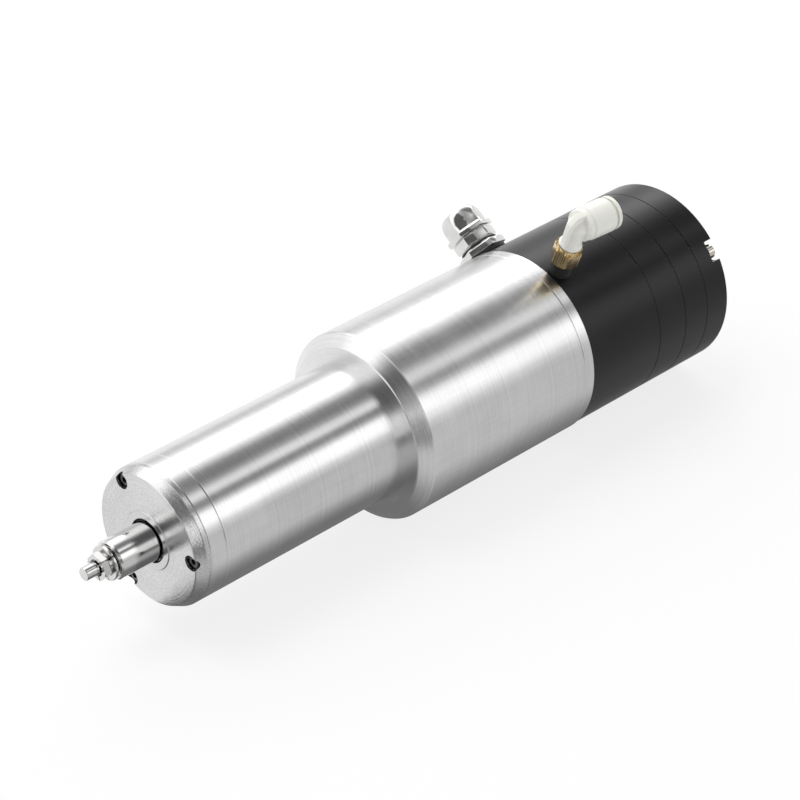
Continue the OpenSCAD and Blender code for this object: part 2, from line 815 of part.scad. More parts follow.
module lock_nut(x, l, slots) {
    color(steel) difference() {
        ring(thread_r + seat, nut_r, x, x + l);
        on_circle(slots, 0, nut_r) translate([x - cut, -1.5, -1.2]) cube([l + 2 * cut, 3, 3]);
    }
}

module front_lock_nut() {
    lock_nut(front_bearing_x - front_nut_l, front_nut_l, 4);
}

module rear_lock_nut() {
    lock_nut(rear_bearing_end, rear_nut_l, 4);
}

module rotor_core() {
    color(steel) ring(rotor_seat_r + seat, rotor_r, core_x, core_end);
}

// The short-circuit rings at the rotor's two ends
module rotor_end_rings() {
    color(silver) for (x = [core_x - end_ring_l, core_end])
        ring(rotor_seat_r + seat, end_ring_r, x, x + end_ring_l);
}

// Tool clamp

// Profile of the collet without its hexagon: sleeve, cone, flange and neck
module collet_turned() {
    cone_x = shaft_front_x + collet_cone_l;
    throat_cone_r = collet_cone_r - (collet_cone_r - collet_tail_r) * collet_throat_l / collet_cone_l;
    turned([
        [0, collet_hex_x + collet_hex_l / 2], [collet_neck_r, collet_hex_x + collet_hex_l / 2],
        [collet_neck_r, collet_flange_x], [collet_flange_r - 0.3, collet_flange_x],
        [collet_flange_r, collet_flange_x + 0.3],
        [collet_flange_r, collet_flange_x + collet_flange_t],
        [collet_throat_r, collet_flange_x + collet_flange_t],
        [collet_throat_r, shaft_front_x + collet_throat_l],
        [throat_cone_r - running, shaft_front_x + collet_throat_l], [collet_tail_r, cone_x],
        [collet_tail_r, collet_tail_x], [0, collet_tail_x]
    ]);
}

module collet() {
    grip_end = collet_hex_x + tool_in;
    color(steel) difference() {
        union() {
            collet_turned();
            translate([collet_hex_x, 0, 0]) rotate([0, 90, 0]) rotate(collet_slit_angle)
                bevelled_hexagon(collet_hex_af, collet_hex_l, 0.6);
        }
        rod(collet_mouth_r, collet_hex_x - cut, collet_hex_x + collet_mouth_l);
        rod(tool_r + seat, collet_hex_x, grip_end + 0.5);
        rod(collet_thread_r + 0.2, grip_end, collet_tail_x - collet_thread_l);
        rod(collet_thread_r + seat, collet_tail_x - collet_thread_l - cut, collet_tail_x + cut);
        spread(3, collet_slit_angle)
            translate([collet_hex_x - cut, -collet_slit_w / 2, 0])
                cube([slit_l + shaft_front_x - collet_hex_x + cut, collet_slit_w, collet_flange_r + 1]);
    }
}

module tool_pin() {
    front = collet_hex_x - tool_out;
    bevel = 0.25;
    color(steel) turned([
        [0, front], [tool_r - bevel, front], [tool_r, front + bevel],
        [tool_r, collet_hex_x + tool_in], [0, collet_hex_x + tool_in]
    ]);
}

module drawbar() {
    color(steel) turned([
        [0, collet_tail_x - collet_thread_l + 1], [collet_thread_r, collet_tail_x - collet_thread_l + 1],
        [collet_thread_r, collet_tail_x], [drawbar_r, collet_tail_x], [drawbar_r, spring_end],
        [drawbar_head_r, spring_end], [drawbar_head_r, spring_end + drawbar_head_l],
        [drawbar_tail_r, spring_end + drawbar_head_l], [drawbar_tail_r, drawbar_end_x - 0.5],
        [drawbar_tail_r - 0.5, drawbar_end_x], [0, drawbar_end_x]
    ]);
}

// One coned disc, which leans forward or backward
module disc(x, forward) {
    near = forward ? 0 : disc_cone;
    far = forward ? disc_cone : 0;
    turned([
        [disc_in_r, x + near], [disc_out_r, x + far],
        [disc_out_r, x + far + disc_t], [disc_in_r, x + near + disc_t]
    ]);
}

module disc_springs() {
    color(steel) for (i = [0 : disc_count - 1])
        disc(chamber_x + disc_end_gap / 2 + i * disc_pitch, i % 2 == 0);
}

module drawbar_guide() {
    color(bronze) ring(drawbar_tail_r + running, chamber_r - seat, shaft_end_x - guide_l, shaft_end_x);
}

// Rear housings and release cylinder

module connection_housing() {
    flange_end_x = connection_x + connection_flange_t;
    color(black) difference() {
        turned([
            [hub_r + seat, connection_x], [rear_r, connection_x],
            [rear_r, front_cylinder_x - seam_bevel], [rear_r - seam_bevel, front_cylinder_x],
            [connection_inner_r, front_cylinder_x], [connection_inner_r, flange_end_x],
            [hub_r + seat, flange_end_x]
        ]);
        on_circle(6, gland_angle + 30, connection_screw_circle_r)
            rod(m4[0] + screw_gap, connection_x - cut, flange_end_x + cut);
        on_circle(3, tie_angle, tie_r)
            rod(m4[0] + seat, front_cylinder_x - tie_screw_into - 1, front_cylinder_x + cut);
        rotate([gland_angle, 0, 0]) {
            translate([0, 0, connection_screw_circle_r])
                rod(lead_hole_r, connection_x - cut, flange_end_x + cut);
            translate([gland_x, 0, gland_wall_end - cut])
                cylinder(r = gland_thread_d / 2 + seat, h = rear_r - gland_wall_end + 2 * cut, $fn = small_fn);
            translate([gland_x, 0, gland_seat_z]) cylinder(r = gland_seat_r, h = 3, $fn = small_fn);
        }
        rotate([elbow_angle, 0, 0]) {
            translate([elbow_x, 0, stud_bottom - 0.3])
                cylinder(r = stud_thread_r + seat, h = rear_r - stud_bottom + cut, $fn = small_fn);
            translate([0, 0, duct_circle_r]) rod(duct_r, elbow_x, front_cylinder_x + cut);
        }
    }
}

module connection_screws() {
    color(steel) on_circle(6, gland_angle + 30, connection_screw_circle_r)
        socket_screw(m4, connection_x + connection_flange_t, connection_screw_l);
}

// Holes that all rings of the stack share: the tie screws and the air duct
module stack_holes(from_x, to_x, duct_end) {
    on_circle(3, tie_angle, tie_r) rod(m4[0] + screw_gap, from_x - cut, to_x + cut);
    rotate([elbow_angle, 0, 0]) translate([0, 0, duct_circle_r]) rod(duct_r, from_x - cut, duct_end);
}

// The passage from the air duct into a cylinder
module duct_branch(x) {
    rotate([elbow_angle, 0, 0]) translate([x, 0, cylinder_r - cut])
        cylinder(r = duct_r - 0.3, h = duct_circle_r - cylinder_r + cut, $fn = small_fn);
}

module rod_seal_groove(x) {
    ring(rod_r, rod_seal_ring_r + rod_seal_cord_r + 0.1, x - 1.2, x + 1.2);
}

module front_cylinder() {
    color(black) difference() {
        turned([
            [rod_r + running, cylinder_floor_x], [connection_inner_r - seat, cylinder_floor_x],
            [connection_inner_r - seat, front_cylinder_x], [rear_r - seam_bevel, front_cylinder_x],
            [rear_r, front_cylinder_x + seam_bevel], [rear_r, rear_cylinder_x - seam_bevel],
            [rear_r - seam_bevel, rear_cylinder_x], [cylinder_r, rear_cylinder_x],
            [cylinder_r, front_chamber_x], [spring_pocket_out_r, front_chamber_x],
            [spring_pocket_out_r, front_chamber_x - spring_pocket_depth],
            [spring_pocket_in_r, front_chamber_x - spring_pocket_depth],
            [spring_pocket_in_r, front_chamber_x], [rod_r + running, front_chamber_x]
        ]);
        stack_holes(front_cylinder_x, rear_cylinder_x, rear_cylinder_x + cut);
        duct_branch(divider_x - 1.4);
        rod_seal_groove(cylinder_floor_x + 2.2);
    }
}

module rear_cylinder() {
    color(black) difference() {
        turned([
            [rod_r + running, divider_x], [cylinder_r - seat, divider_x],
            [cylinder_r - seat, rear_cylinder_x], [rear_r - seam_bevel, rear_cylinder_x],
            [rear_r, rear_cylinder_x + seam_bevel], [rear_r, rear_cover_x - seam_bevel],
            [rear_r - seam_bevel, rear_cover_x], [cylinder_r, rear_cover_x],
            [cylinder_r, rear_chamber_x], [rod_r + running, rear_chamber_x]
        ]);
        stack_holes(rear_cylinder_x, rear_cover_x, rear_chamber_end - 0.5);
        duct_branch(rear_chamber_end - 1.4);
        rod_seal_groove((divider_x + rear_chamber_x) / 2);
    }
}

// A pocket open to the rim, where a tie screw's head sits
module rim_pocket() {
    depth = tie_pocket_depth + cut;
    translate([rear_x - tie_pocket_depth, 0, tie_r]) {
        rotate([0, 90, 0]) cylinder(d = tie_pocket_w, h = depth, $fn = small_fn);
        translate([0, -tie_pocket_w / 2, 0]) cube([depth, tie_pocket_w, rear_r]);
    }
}

module rear_cover() {
    rim_bevel = 0.5;
    recess_r = 24;
    recess_depth = 3;
    color(black) difference() {
        turned([
            [0, rear_chamber_end], [cylinder_r - seat, rear_chamber_end],
            [cylinder_r - seat, rear_cover_x], [rear_r - seam_bevel, rear_cover_x],
            [rear_r, rear_cover_x + seam_bevel], [rear_r, rear_x - rim_bevel],
            [rear_r - rim_bevel, rear_x], [recess_r, rear_x], [recess_r - 1, rear_x - recess_depth],
            [0, rear_x - recess_depth]
        ]);
        on_circle(3, tie_angle, tie_r) rod(m4[0] + screw_gap, rear_cover_x - cut, rear_x);
        spread(3, tie_angle) rim_pocket();
    }
}

module tie_screws() {
    color(steel) on_circle(3, tie_angle, tie_r)
        socket_screw(
            m4, rear_x - tie_pocket_depth,
            rear_x - tie_pocket_depth - front_cylinder_x + tie_screw_into
        );
}

// One piston with its seal groove and bevelled edges
module piston(x) {
    difference() {
        turned([
            [rod_neck_r + seat, x], [piston_r - piston_bevel, x], [piston_r, x + piston_bevel],
            [piston_r, x + piston_t - piston_bevel], [piston_r - piston_bevel, x + piston_t],
            [rod_neck_r + seat, x + piston_t]
        ]);
        ring(
            seal_ring_r - seal_cord_r - 0.05, cylinder_r,
            x + piston_t / 2 - seal_cord_r - 0.1, x + piston_t / 2 + seal_cord_r + 0.1
        );
    }
}

module pistons() {
    color(silver) {
        piston(front_piston_x);
        difference() {
            piston(rear_piston_x);
            rod(piston_nut_r + 0.3, rear_piston_x + piston_t - piston_nut_l, rear_piston_x + piston_t + cut);
        }
    }
}

module piston_rod() {
    end = rear_piston_x + piston_t - 0.2;
    color(steel) turned([
        [0, rod_tip_x], [rod_r - 1, rod_tip_x], [rod_r, rod_tip_x + 1], [rod_r, front_piston_x],
        [rod_neck_r, front_piston_x], [rod_neck_r, end], [0, end]
    ]);
}

module piston_spacer() {
    color(steel) ring(rod_neck_r + seat, rod_r, front_piston_x + piston_t, rear_piston_x);
}

module piston_nut() {
    start = rear_piston_x + piston_t - piston_nut_l;
    color(steel) translate([start, 0, 0]) rotate([0, 90, 0]) difference() {
        hexagon(2 * piston_nut_r * cos(30), piston_nut_l - 0.2);
        translate([0, 0, -cut]) cylinder(r = rod_neck_r + seat, h = piston_nut_l + 2 * cut, $fn = small_fn);
    }
}

module piston_seals() {
    color(rubber) for (x = [front_piston_x, rear_piston_x])
        torus_at(x + piston_t / 2, seal_ring_r, seal_cord_r);
}

module rod_seals() {
    color(rubber) for (x = [cylinder_floor_x + 2.2, (divider_x + rear_chamber_x) / 2])
        torus_at(x, rod_seal_ring_r, rod_seal_cord_r);
}

// Corner i of the wire's round outline at step s of the coil
function wire_point(s, i, steps, sides) =
    let (
        turn = 360 * spring_turns * s / steps,
        along = spring_wire_r + spring_gap + (spring_room - 2 * (spring_wire_r + spring_gap)) * s / steps,
        r = spring_coil_r + spring_wire_r * cos(360 * i / sides),
        x = front_chamber_x - spring_pocket_depth + along + spring_wire_r * sin(360 * i / sides)
    )
    [x, r * sin(turn), r * cos(turn)];

// The coil spring that pushes the pistons back
module return_spring() {
    sides = 10;
    steps = 24 * spring_turns;
    points = [for (s = [0 : steps]) for (i = [0 : sides - 1]) wire_point(s, i, steps, sides)];
    skin = [
        for (s = [0 : steps - 1]) for (i = [0 : sides - 1])
            [s * sides + i, s * sides + (i + 1) % sides, (s + 1) * sides + (i + 1) % sides, (s + 1) * sides + i]
    ];
    start_cap = [[for (i = [sides - 1 : -1 : 0]) i]];
    end_cap = [[for (i = [0 : sides - 1]) steps * sides + i]];
    color(steel) polyhedron(points = points, faces = concat(skin, start_cap, end_cap));
}

// Cable gland

// Brings a shape from the axis to the gland's place and turn
module at_gland() {
    rotate([gland_angle, 0, 0]) translate([gland_x, 0, 0]) rotate(gland_turn) children();
}

module gland_gasket() {
    color(rubber) at_gland() translate([0, 0, gland_seat_z]) difference() {
        cylinder(r = gland_gasket_r, h = gland_gasket_t, $fn = small_fn);
        translate([0, 0, -cut])
            cylinder(r = gland_thread_d / 2 + seat, h = gland_gasket_t + 2 * cut, $fn = small_fn);
    }
}

module gland_body() {
    groove = 0.5;
    color(silver) at_gland() difference() {
        union() {
            translate([0, 0, gland_wall_end])
                cylinder(d = gland_thread_d, h = gland_base_z - gland_wall_end + cut, $fn = small_fn);
            translate([0, 0, gland_base_z]) rotate(gland_base_turn)
                bevelled_hexagon(gland_base_af, gland_base_h, 0.6);
            translate([0, 0, gland_neck_z - groove])
                cylinder(r = gland_neck_r, h = gland_neck_h + 2 * groove, $fn = small_fn);
            translate([0, 0, gland_body_z]) bevelled_hexagon(gland_body_af, gland_body_h, 0.5);
            translate([0, 0, gland_body_z + gland_body_h - cut])
                cylinder(r = gland_upper_thread_r, h = gland_upper_l + cut, $fn = small_fn);
        }
        translate([0, 0, gland_wall_end - cut])
            cylinder(r = gland_bore_r, h = gland_body_z - gland_wall_end + 2 * cut, $fn = small_fn);
        translate([0, 0, gland_body_z])
            cylinder(r = gland_insert_r + seat, h = gland_body_h + gland_upper_l + cut, $fn = small_fn);
    }
}

module gland_o_ring() {
    color(rubber) at_gland() translate([0, 0, gland_neck_z + gland_neck_h / 2])
        rotate_extrude($fn = round_fn)
            translate([gland_neck_r + gland_ring_cord_r + seat, 0]) circle(r = gland_ring_cord_r, $fn = small_fn);
}

// The seal and the clamping fingers round it, which the nut's cone presses on the cable
module gland_insert() {
    top = gland_nut_thread_top + 2.4;
    tip_r = gland_insert_r - 1.1;
    fingers = 8;
    finger_l = 4;
    slit_w = 0.6;
    color(rubber) at_gland() difference() {
        rotate_extrude($fn = round_fn) polygon([
            [cable_r, gland_body_z], [gland_insert_r, gland_body_z],
            [gland_insert_r, gland_nut_thread_top], [tip_r, top], [cable_r, top]
        ]);
        for (i = [0 : fingers - 1]) rotate(360 * i / fingers)
            translate([cable_r + 1, -slit_w / 2, gland_nut_thread_top - finger_l])
                cube([gland_insert_r, slit_w, 2 * finger_l]);
    }
}

// The cap nut: a hexagon band below and a dome whose flats run out in arches
module gland_nut() {
    dome_z = gland_nut_z + gland_nut_band;
    top = dome_z + gland_dome_h;
    cylinder_h = 3.4;
    arc_h = gland_dome_h - cylinder_h;
    arc_w = gland_dome_r - gland_top_r;
    arc = [for (a = [0 : 15 : 90]) [gland_top_r + arc_w * cos(a), dome_z + cylinder_h + arc_h * sin(a)]];
    color(silver) at_gland() difference() {
        union() {
            translate([0, 0, gland_nut_z]) bevelled_hexagon(gland_nut_af, gland_nut_band, 0.5);
            intersection() {
                rotate_extrude($fn = round_fn)
                    polygon(concat([[0, dome_z - cut], [gland_dome_r, dome_z - cut]], arc, [[0, top]]));
                translate([0, 0, dome_z - cut]) hexagon(gland_nut_af - 1.4, gland_dome_h + 2 * cut);
            }
        }
        translate([0, 0, gland_nut_z - cut])
            cylinder(
                r = gland_upper_thread_r + seat, h = gland_nut_thread_top - gland_nut_z + cut,
                $fn = small_fn
            );
        rotate_extrude($fn = round_fn) polygon([
            [0, gland_nut_thread_top - cut], [gland_insert_r + seat, gland_nut_thread_top - cut],
            [gland_insert_r + seat, gland_nut_thread_top], [cable_r + 1.1, gland_nut_thread_top + 3.8],
            [cable_r + 1.1, top - 0.8], [cable_r + 2.1, top + 0.2], [0, top + 0.2]
        ]);
    }
}

// Air elbow

// Brings a shape from the axis to the elbow's leg
module at_leg() {
    rotate([elbow_angle, 0, 0]) translate([elbow_x, 0, 0]) children();
}

// Brings a shape turned about the spindle axis to the tube socket's axis
module at_socket() {
    at_leg() rotate(elbow_turn) translate([0, 0, socket_z]) children();
}

module fitting_stud() {
    hex_turn = 47;
    taper = 1.1;
    corner_r = stud_hex_af / 2 / cos(30);
    color(brass) at_leg() difference() {
        union() {
            translate([0, 0, stud_bottom])
                cylinder(r = stud_thread_r, h = stud_hex_z - stud_bottom + cut, $fn = small_fn);
            intersection() {
                translate([0, 0, stud_hex_z]) rotate(hex_turn) hexagon(stud_hex_af, stud_hex_h);
                rotate_extrude($fn = round_fn) polygon([
                    [0, stud_hex_z], [corner_r - taper, stud_hex_z], [corner_r, stud_hex_z + taper],
                    [corner_r, crimp_z], [0, crimp_z]
                ]);
            }
            translate([0, 0, crimp_z]) cylinder(r = crimp_r, h = crimp_h, $fn = small_fn);
            translate([0, 0, crimp_z - cut])
                cylinder(r = journal_r, h = crimp_h + journal_l + cut, $fn = small_fn);
        }
        translate([0, 0, stud_bottom - cut])
            cylinder(r = stud_bore_r, h = leg_z + journal_l - stud_bottom + 2 * cut, $fn = small_fn);
        translate([0, 0, leg_z + journal_l / 2]) rotate_extrude($fn = round_fn)
            translate([stud_ring_r - stud_ring_cord_r, -stud_ring_cord_r - 0.05])
                square([4, 2 * stud_ring_cord_r + 0.1]);
        for (i = [0 : crimp_notches - 1]) rotate(hex_turn + 360 * i / crimp_notches)
            translate([crimp_r - 0.5, -1.1, crimp_z]) cube([2, 2.2, crimp_h + cut]);
    }
}

module stud_o_ring() {
    color(rubber) at_leg() translate([0, 0, leg_z + journal_l / 2]) rotate_extrude($fn = round_fn)
        translate([stud_ring_r + 0.02, 0]) circle(r = stud_ring_cord_r - 0.02, $fn = small_fn);
}

// The leg and its blunt knee, drawn round the crossing of leg and socket
module knee_form() {
    foot = leg_z - socket_z;
    intersection() {
        rotate_extrude($fn = round_fn) polygon([
            [0, foot], [leg_r, foot], [leg_r, foot + leg_straight], [knee_r, knee_rise],
            [knee_r, knee_top_r + cut], [0, knee_top_r + cut]
        ]);
        union() {
            translate([0, 0, foot - cut]) cylinder(r = knee_r + cut, h = cut - foot, $fn = small_fn);
            turned([
                [0, -knee_r - cut], [knee_top_r - knee_bevel - cut, -knee_r - cut],
                [knee_top_r, -knee_r + knee_bevel], [knee_top_r, knee_r + cut], [0, knee_r + cut]
            ]);
        }
    }
}

// The rib over the middle of leg and knee, which stands out of them
module knee_rib() {
    low = leg_z - socket_z + leg_straight;
    front = -knee_r - rib_out;
    top = socket_collar_r - 0.1;
    rotate([90, 0, 0]) linear_extrude(height = rib_t, center = true) polygon([
        [-leg_r + 0.4, low], [front, knee_rise], [front, top - knee_bevel],
        [front + knee_bevel, top], [knee_rise, top], [knee_rise, low], [-stud_bore_r, low]
    ]);
}

// The shallow flat pocket on each side of leg and knee
module scallop() {
    foot = leg_z - socket_z - cut;
    for (side = [-1, 1]) translate([0, side * (leg_r - scallop_depth + scallop_reach), 0]) rotate([90, 0, 0])
        linear_extrude(height = 2 * scallop_reach, center = true) union() {
            translate([-knee_r - cut, foot]) square([2 * (knee_r + cut), -foot]);
            circle(r = scallop_top_r, $fn = small_fn);
        }
}

module elbow_body() {
    journal_top = leg_z + journal_l + 0.4;
    color(white) difference() {
        union() {
            at_socket() {
                difference() {
                    knee_form();
                    scallop();
                }
                knee_rib();
                rod(socket_collar_r, -0.6, socket_collar_end);
                rod(socket_collar_r - 0.4, 0, socket_collar_end + 1);
                ring(0, socket_r, socket_collar_end + 0.5, socket_end);
            }
        }
        at_leg() {
            translate([0, 0, leg_z - cut])
                cylinder(r = journal_r + running, h = journal_top - leg_z + cut, $fn = small_fn);
            translate([0, 0, leg_z]) cylinder(r = stud_bore_r + 0.6, h = socket_z - leg_z, $fn = small_fn);
        }
        at_socket() {
            rod(stud_bore_r + 0.6, -stud_bore_r, tube_stop + cut);
            rod(tube_r + running, tube_stop, seal_room_x + cut);
            rod(seal_room_r, seal_room_x, sleeve_room_x);
            rod(sleeve_r + running, sleeve_room_x - cut, socket_end + cut);
        }
    }
}

module tube_seal() {
    color(rubber) at_socket()
        torus_at(seal_room_x + tube_seal_cord_r + 0.1, tube_r + 2 * running + tube_seal_cord_r, tube_seal_cord_r);
}

// The toothed ring that grips the tube
module grab_ring() {
    teeth = 12;
    color(steel) at_socket() difference() {
        turned([
            [tube_r + running, grab_ring_x - 0.9], [tube_r + running + 0.3, grab_ring_x - 0.9],
            [seal_room_r - 1, grab_ring_x], [seal_room_r - 0.05, grab_ring_x],
            [seal_room_r - 0.05, grab_ring_x + grab_ring_t], [seal_room_r - 1, grab_ring_x + grab_ring_t],
            [tube_r + running, grab_ring_x - 0.5]
        ]);
        spread(teeth) translate([grab_ring_x - 2, -0.2, tube_r - 0.2]) cube([1.9, 0.4, 1]);
    }
}

module release_ring() {
    flange_x0 = socket_reach - release_flange_t;
    flange_r = socket_r - 0.2;
    edge = 0.5;
    color(white) at_socket() turned([
        [tube_r + 2 * running, sleeve_room_x + 0.2], [sleeve_r, sleeve_room_x + 0.2],
        [sleeve_r, flange_x0], [flange_r, flange_x0], [flange_r, socket_reach - edge],
        [flange_r - edge, socket_reach], [tube_r + 2 * running + edge, socket_reach],
        [tube_r + 2 * running, socket_reach - edge]
    ]);
}

front_cover();
labyrinth_ring();
cover_screws();
clamp_ring();
nose_barrel();
barrel_screws();
front_outer_races();
front_inner_races();
front_balls();
front_cages();
motor_housing();
stator_core();
stator_winding();
rear_shield();
shield_screws();
rear_outer_races();
rear_inner_races();
rear_balls();
rear_cages();
preload_spring();
spindle_shaft();
front_lock_nut();
rear_lock_nut();
rotor_core();
rotor_end_rings();
collet();
tool_pin();
drawbar();
disc_springs();
drawbar_guide();
connection_housing();
connection_screws();
front_cylinder();
rear_cylinder();
rear_cover();
tie_screws();
pistons();
piston_rod();
piston_spacer();
piston_nut();
piston_seals();
rod_seals();
return_spring();
gland_gasket();
gland_body();
gland_o_ring();
gland_insert();
gland_nut();
fitting_stud();
stud_o_ring();
elbow_body();
tube_seal();
grab_ring();
release_ring();
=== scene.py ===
"""Looks of the motor spindle: finishes, fine forms that its solids leave out, and the stage."""

import json
import math

import bmesh
import bpy
from mathutils import Matrix, Vector


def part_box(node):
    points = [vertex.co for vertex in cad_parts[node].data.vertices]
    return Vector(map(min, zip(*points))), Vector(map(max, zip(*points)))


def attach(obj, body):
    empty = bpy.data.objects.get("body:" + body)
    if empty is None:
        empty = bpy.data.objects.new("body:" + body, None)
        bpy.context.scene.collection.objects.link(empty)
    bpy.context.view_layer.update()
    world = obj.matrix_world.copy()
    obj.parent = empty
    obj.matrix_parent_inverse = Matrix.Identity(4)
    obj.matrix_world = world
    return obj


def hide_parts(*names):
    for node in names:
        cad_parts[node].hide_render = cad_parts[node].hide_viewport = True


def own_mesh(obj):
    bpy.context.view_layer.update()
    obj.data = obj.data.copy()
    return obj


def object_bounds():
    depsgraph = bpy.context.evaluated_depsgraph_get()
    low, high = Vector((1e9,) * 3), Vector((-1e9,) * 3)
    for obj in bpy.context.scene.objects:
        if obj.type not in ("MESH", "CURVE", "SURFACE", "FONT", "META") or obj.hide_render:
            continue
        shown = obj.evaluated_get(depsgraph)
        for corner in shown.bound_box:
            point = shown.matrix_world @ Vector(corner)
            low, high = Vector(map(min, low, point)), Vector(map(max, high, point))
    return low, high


bl_info = {
    "name": "Motor spindle",
    "version": (1, 0, 0),
    "blender": (4, 5, 0),
    "location": "View3D > Sidebar > Motor spindle",
    "description": "Finishes and fine forms of a motor spindle with an air-released tool clamp",
    "category": "Object",
}

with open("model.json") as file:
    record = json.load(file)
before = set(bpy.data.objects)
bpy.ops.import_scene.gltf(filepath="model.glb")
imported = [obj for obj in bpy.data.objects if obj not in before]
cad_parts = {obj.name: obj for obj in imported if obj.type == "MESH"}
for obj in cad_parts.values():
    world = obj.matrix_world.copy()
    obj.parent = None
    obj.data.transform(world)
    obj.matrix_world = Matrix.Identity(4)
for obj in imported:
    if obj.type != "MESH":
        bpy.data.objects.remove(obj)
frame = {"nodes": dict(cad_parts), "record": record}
CAD_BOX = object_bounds()
NODES = frame["nodes"]
MM = 0.001

# Places on the spindle, in millimetres and degrees from straight up towards the camera
ELBOW_X, ELBOW_ANGLE, ELBOW_TURN = 115.0, 20.5, -3.0
GLAND_X, GLAND_ANGLE, GLAND_TURN = 121.0, -54.0, -91.0
# Distances from the spindle's axis along the elbow's leg
STUD_FOOT, STUD_HEX, LEG_FOOT, SOCKET_AXIS = 44.5, 51.5, 61.9, 73.3
STUD_THREAD_RADIUS = 4.86
# Heights along the gland's axis: its neck, the foot of its dome, and the soft step there
NECK_LOW, NECK_TOP, DOME_FOOT, CROWN_STEP = 50.0, 56.6, 59.5, 0.4

# The camera that the photograph was taken with
CAMERA_PLACE = (-0.78572, -0.82109, 0.73188)
CAMERA_RIGHT = (0.71016, -0.70404, 0.0)
CAMERA_UP = (0.37520, 0.37847, 0.84616)
CAMERA_LENS = 137.10
CAMERA_SENSOR = 36.0
CAMERA_CLIP = (0.01, 50.0)

# Widths of fine features, in metres: edges that the shader rounds off, the groove and
# the band of the dyed skin, wires and sheets of the motor, and the least radius that
# the maths of a turned surface works with
FINE_EDGE, SOFT_EDGE = 0.00012, 0.0003
DYED_GROOVE, DYED_BAND = 0.00012, 0.0004
WIRE_WIDTH, SHEET_WIDTH = 0.0007, 0.0005
AXIS_GAP = 1e-5
# Grooves in one feed band of a turned skin
BAND_GROOVES = 9.0
# How much the level flats of the gland swell, against its dome
LEVEL_SWELL = 0.15
# Painted shade: the dark matt colour that the brass takes on the stud's thread below its
# hexagon
THREAD_SHADE_COLOUR = (0.007, 0.006, 0.005)


# Nodes and maths of the materials


class Value:
    """A shader socket that adds Math nodes when it stands in an expression."""

    def __init__(self, tree, socket):
        self.tree = tree
        self.socket = socket

    def __add__(self, other):
        return self.tree.math("ADD", self, other)

    __radd__ = __add__

    def __sub__(self, other):
        return self.tree.math("SUBTRACT", self, other)

    def __rsub__(self, other):
        return self.tree.math("SUBTRACT", other, self)

    def __mul__(self, other):
        return self.tree.math("MULTIPLY", self, other)

    def __truediv__(self, other):
        return self.tree.math("DIVIDE", self, other)

    def root(self):
        return self.tree.math("SQRT", self)

    def least(self, other):
        """The larger of two values, so that it's at least the other one."""
        return self.tree.math("MAXIMUM", self, other)

    def wave(self, length):
        """A sine between 0 and 1, with the given length of one wave."""
        return self.tree.math("SINE", self * (2 * math.pi / length)) * 0.5 + 0.5

    def ramp(self, low, high):
        """0 below low, 1 above high, and a smooth rise between them."""
        return self.tree.add(
            "ShaderNodeMapRange",
            {"interpolation_type": "SMOOTHSTEP"},
            {"Value": self, "From Min": low, "From Max": high, "To Min": 0.0, "To Max": 1.0},
        )


class Tree:
    """Builds one node tree. add() is the only way that nodes come into it."""

    def __init__(self, node_tree):
        self.node_tree = node_tree

    def add(self, kind, settings=None, inputs=None, output=0):
        """Adds a node, sets what it is first, then fills or links its sockets."""
        node = self.node_tree.nodes.new(kind)
        for key, setting in (settings or {}).items():
            if key == "stops":
                ramp = node.color_ramp
                while len(ramp.elements) > 1:
                    ramp.elements.remove(ramp.elements[-1])
                for i, (place, colour) in enumerate(setting):
                    stop = ramp.elements[0] if i == 0 else ramp.elements.new(place)
                    stop.position = place
                    stop.color = (*colour, 1.0)
            else:
                setattr(node, key, setting)
        pairs = inputs.items() if isinstance(inputs, dict) else enumerate(inputs or ())
        for key, entry in pairs:
            socket = node.inputs[key]
            if isinstance(entry, Value):
                self.node_tree.links.new(entry.socket, socket)
            elif entry is not None:
                socket.default_value = entry
        return Value(self, node.outputs[output]) if len(node.outputs) else None

    def math(self, operation, *entries):
        return self.add("ShaderNodeMath", {"operation": operation}, entries)

    def split(self, vector):
        first = self.add("ShaderNodeSeparateXYZ", None, (vector,))
        return [Value(self, part) for part in first.socket.node.outputs]

    def vector(self, operation, *entries):
        return self.add("ShaderNodeVectorMath", {"operation": operation}, entries)

    def scaled(self, vector, factor):
        return self.add("ShaderNodeVectorMath", {"operation": "SCALE"}, {0: vector, 3: factor})

    def combine(self, x, y, z):
        return self.add("ShaderNodeCombineXYZ", None, (x, y, z))

    def mix(self, share, first, second):
        """A colour between two colours, given as tuples or sockets."""
        first, second = (c if isinstance(c, Value) else (*c, 1.0) for c in (first, second))
        return self.add(
            "ShaderNodeMix",
            {"data_type": "RGBA"},
            {0: share, 6: first, 7: second},
            output=2,
        )

    def noise(self, place, scale, detail=2.0, output=0):
        """Noise with so many patches to the metre: its level, or its colour as output 1."""
        return self.add(
            "ShaderNodeTexNoise",
            None,
            {"Vector": place, "Scale": scale, "Detail": detail, "Roughness": 0.5},
            output,
        )

    def line_noise(self, along, detail):
        """Noise that changes along one length only."""
        return self.add(
            "ShaderNodeTexNoise",
            {"noise_dimensions": "1D"},
            {"W": along, "Scale": 1.0, "Detail": detail, "Roughness": 0.6},
        )

    def bump(self, strength, distance, height, normal=None):
        return self.add(
            "ShaderNodeBump",
            None,
            {"Strength": strength, "Distance": distance, "Height": height, "Normal": normal},
        )

    def glow(self, colour, strength=1.0):
        return self.add("ShaderNodeEmission", None, {"Color": colour, "Strength": strength})


def new_material(name):
    material = bpy.data.materials.new(name)
    material.use_nodes = True
    material.node_tree.nodes.clear()
    return material, Tree(material.node_tree)


def new_finish(name):
    """A material for the spindle itself, not for the stage."""
    return new_material("finish_" + name)


def to_output(tree, shader):
    tree.add("ShaderNodeOutputMaterial", None, {"Surface": shader})


def surface(tree, inputs):
    """The Principled shader and the material's output."""
    to_output(tree, tree.add("ShaderNodeBsdfPrincipled", None, inputs))


def toned(colour, level):
    return tuple(part * level for part in colour)


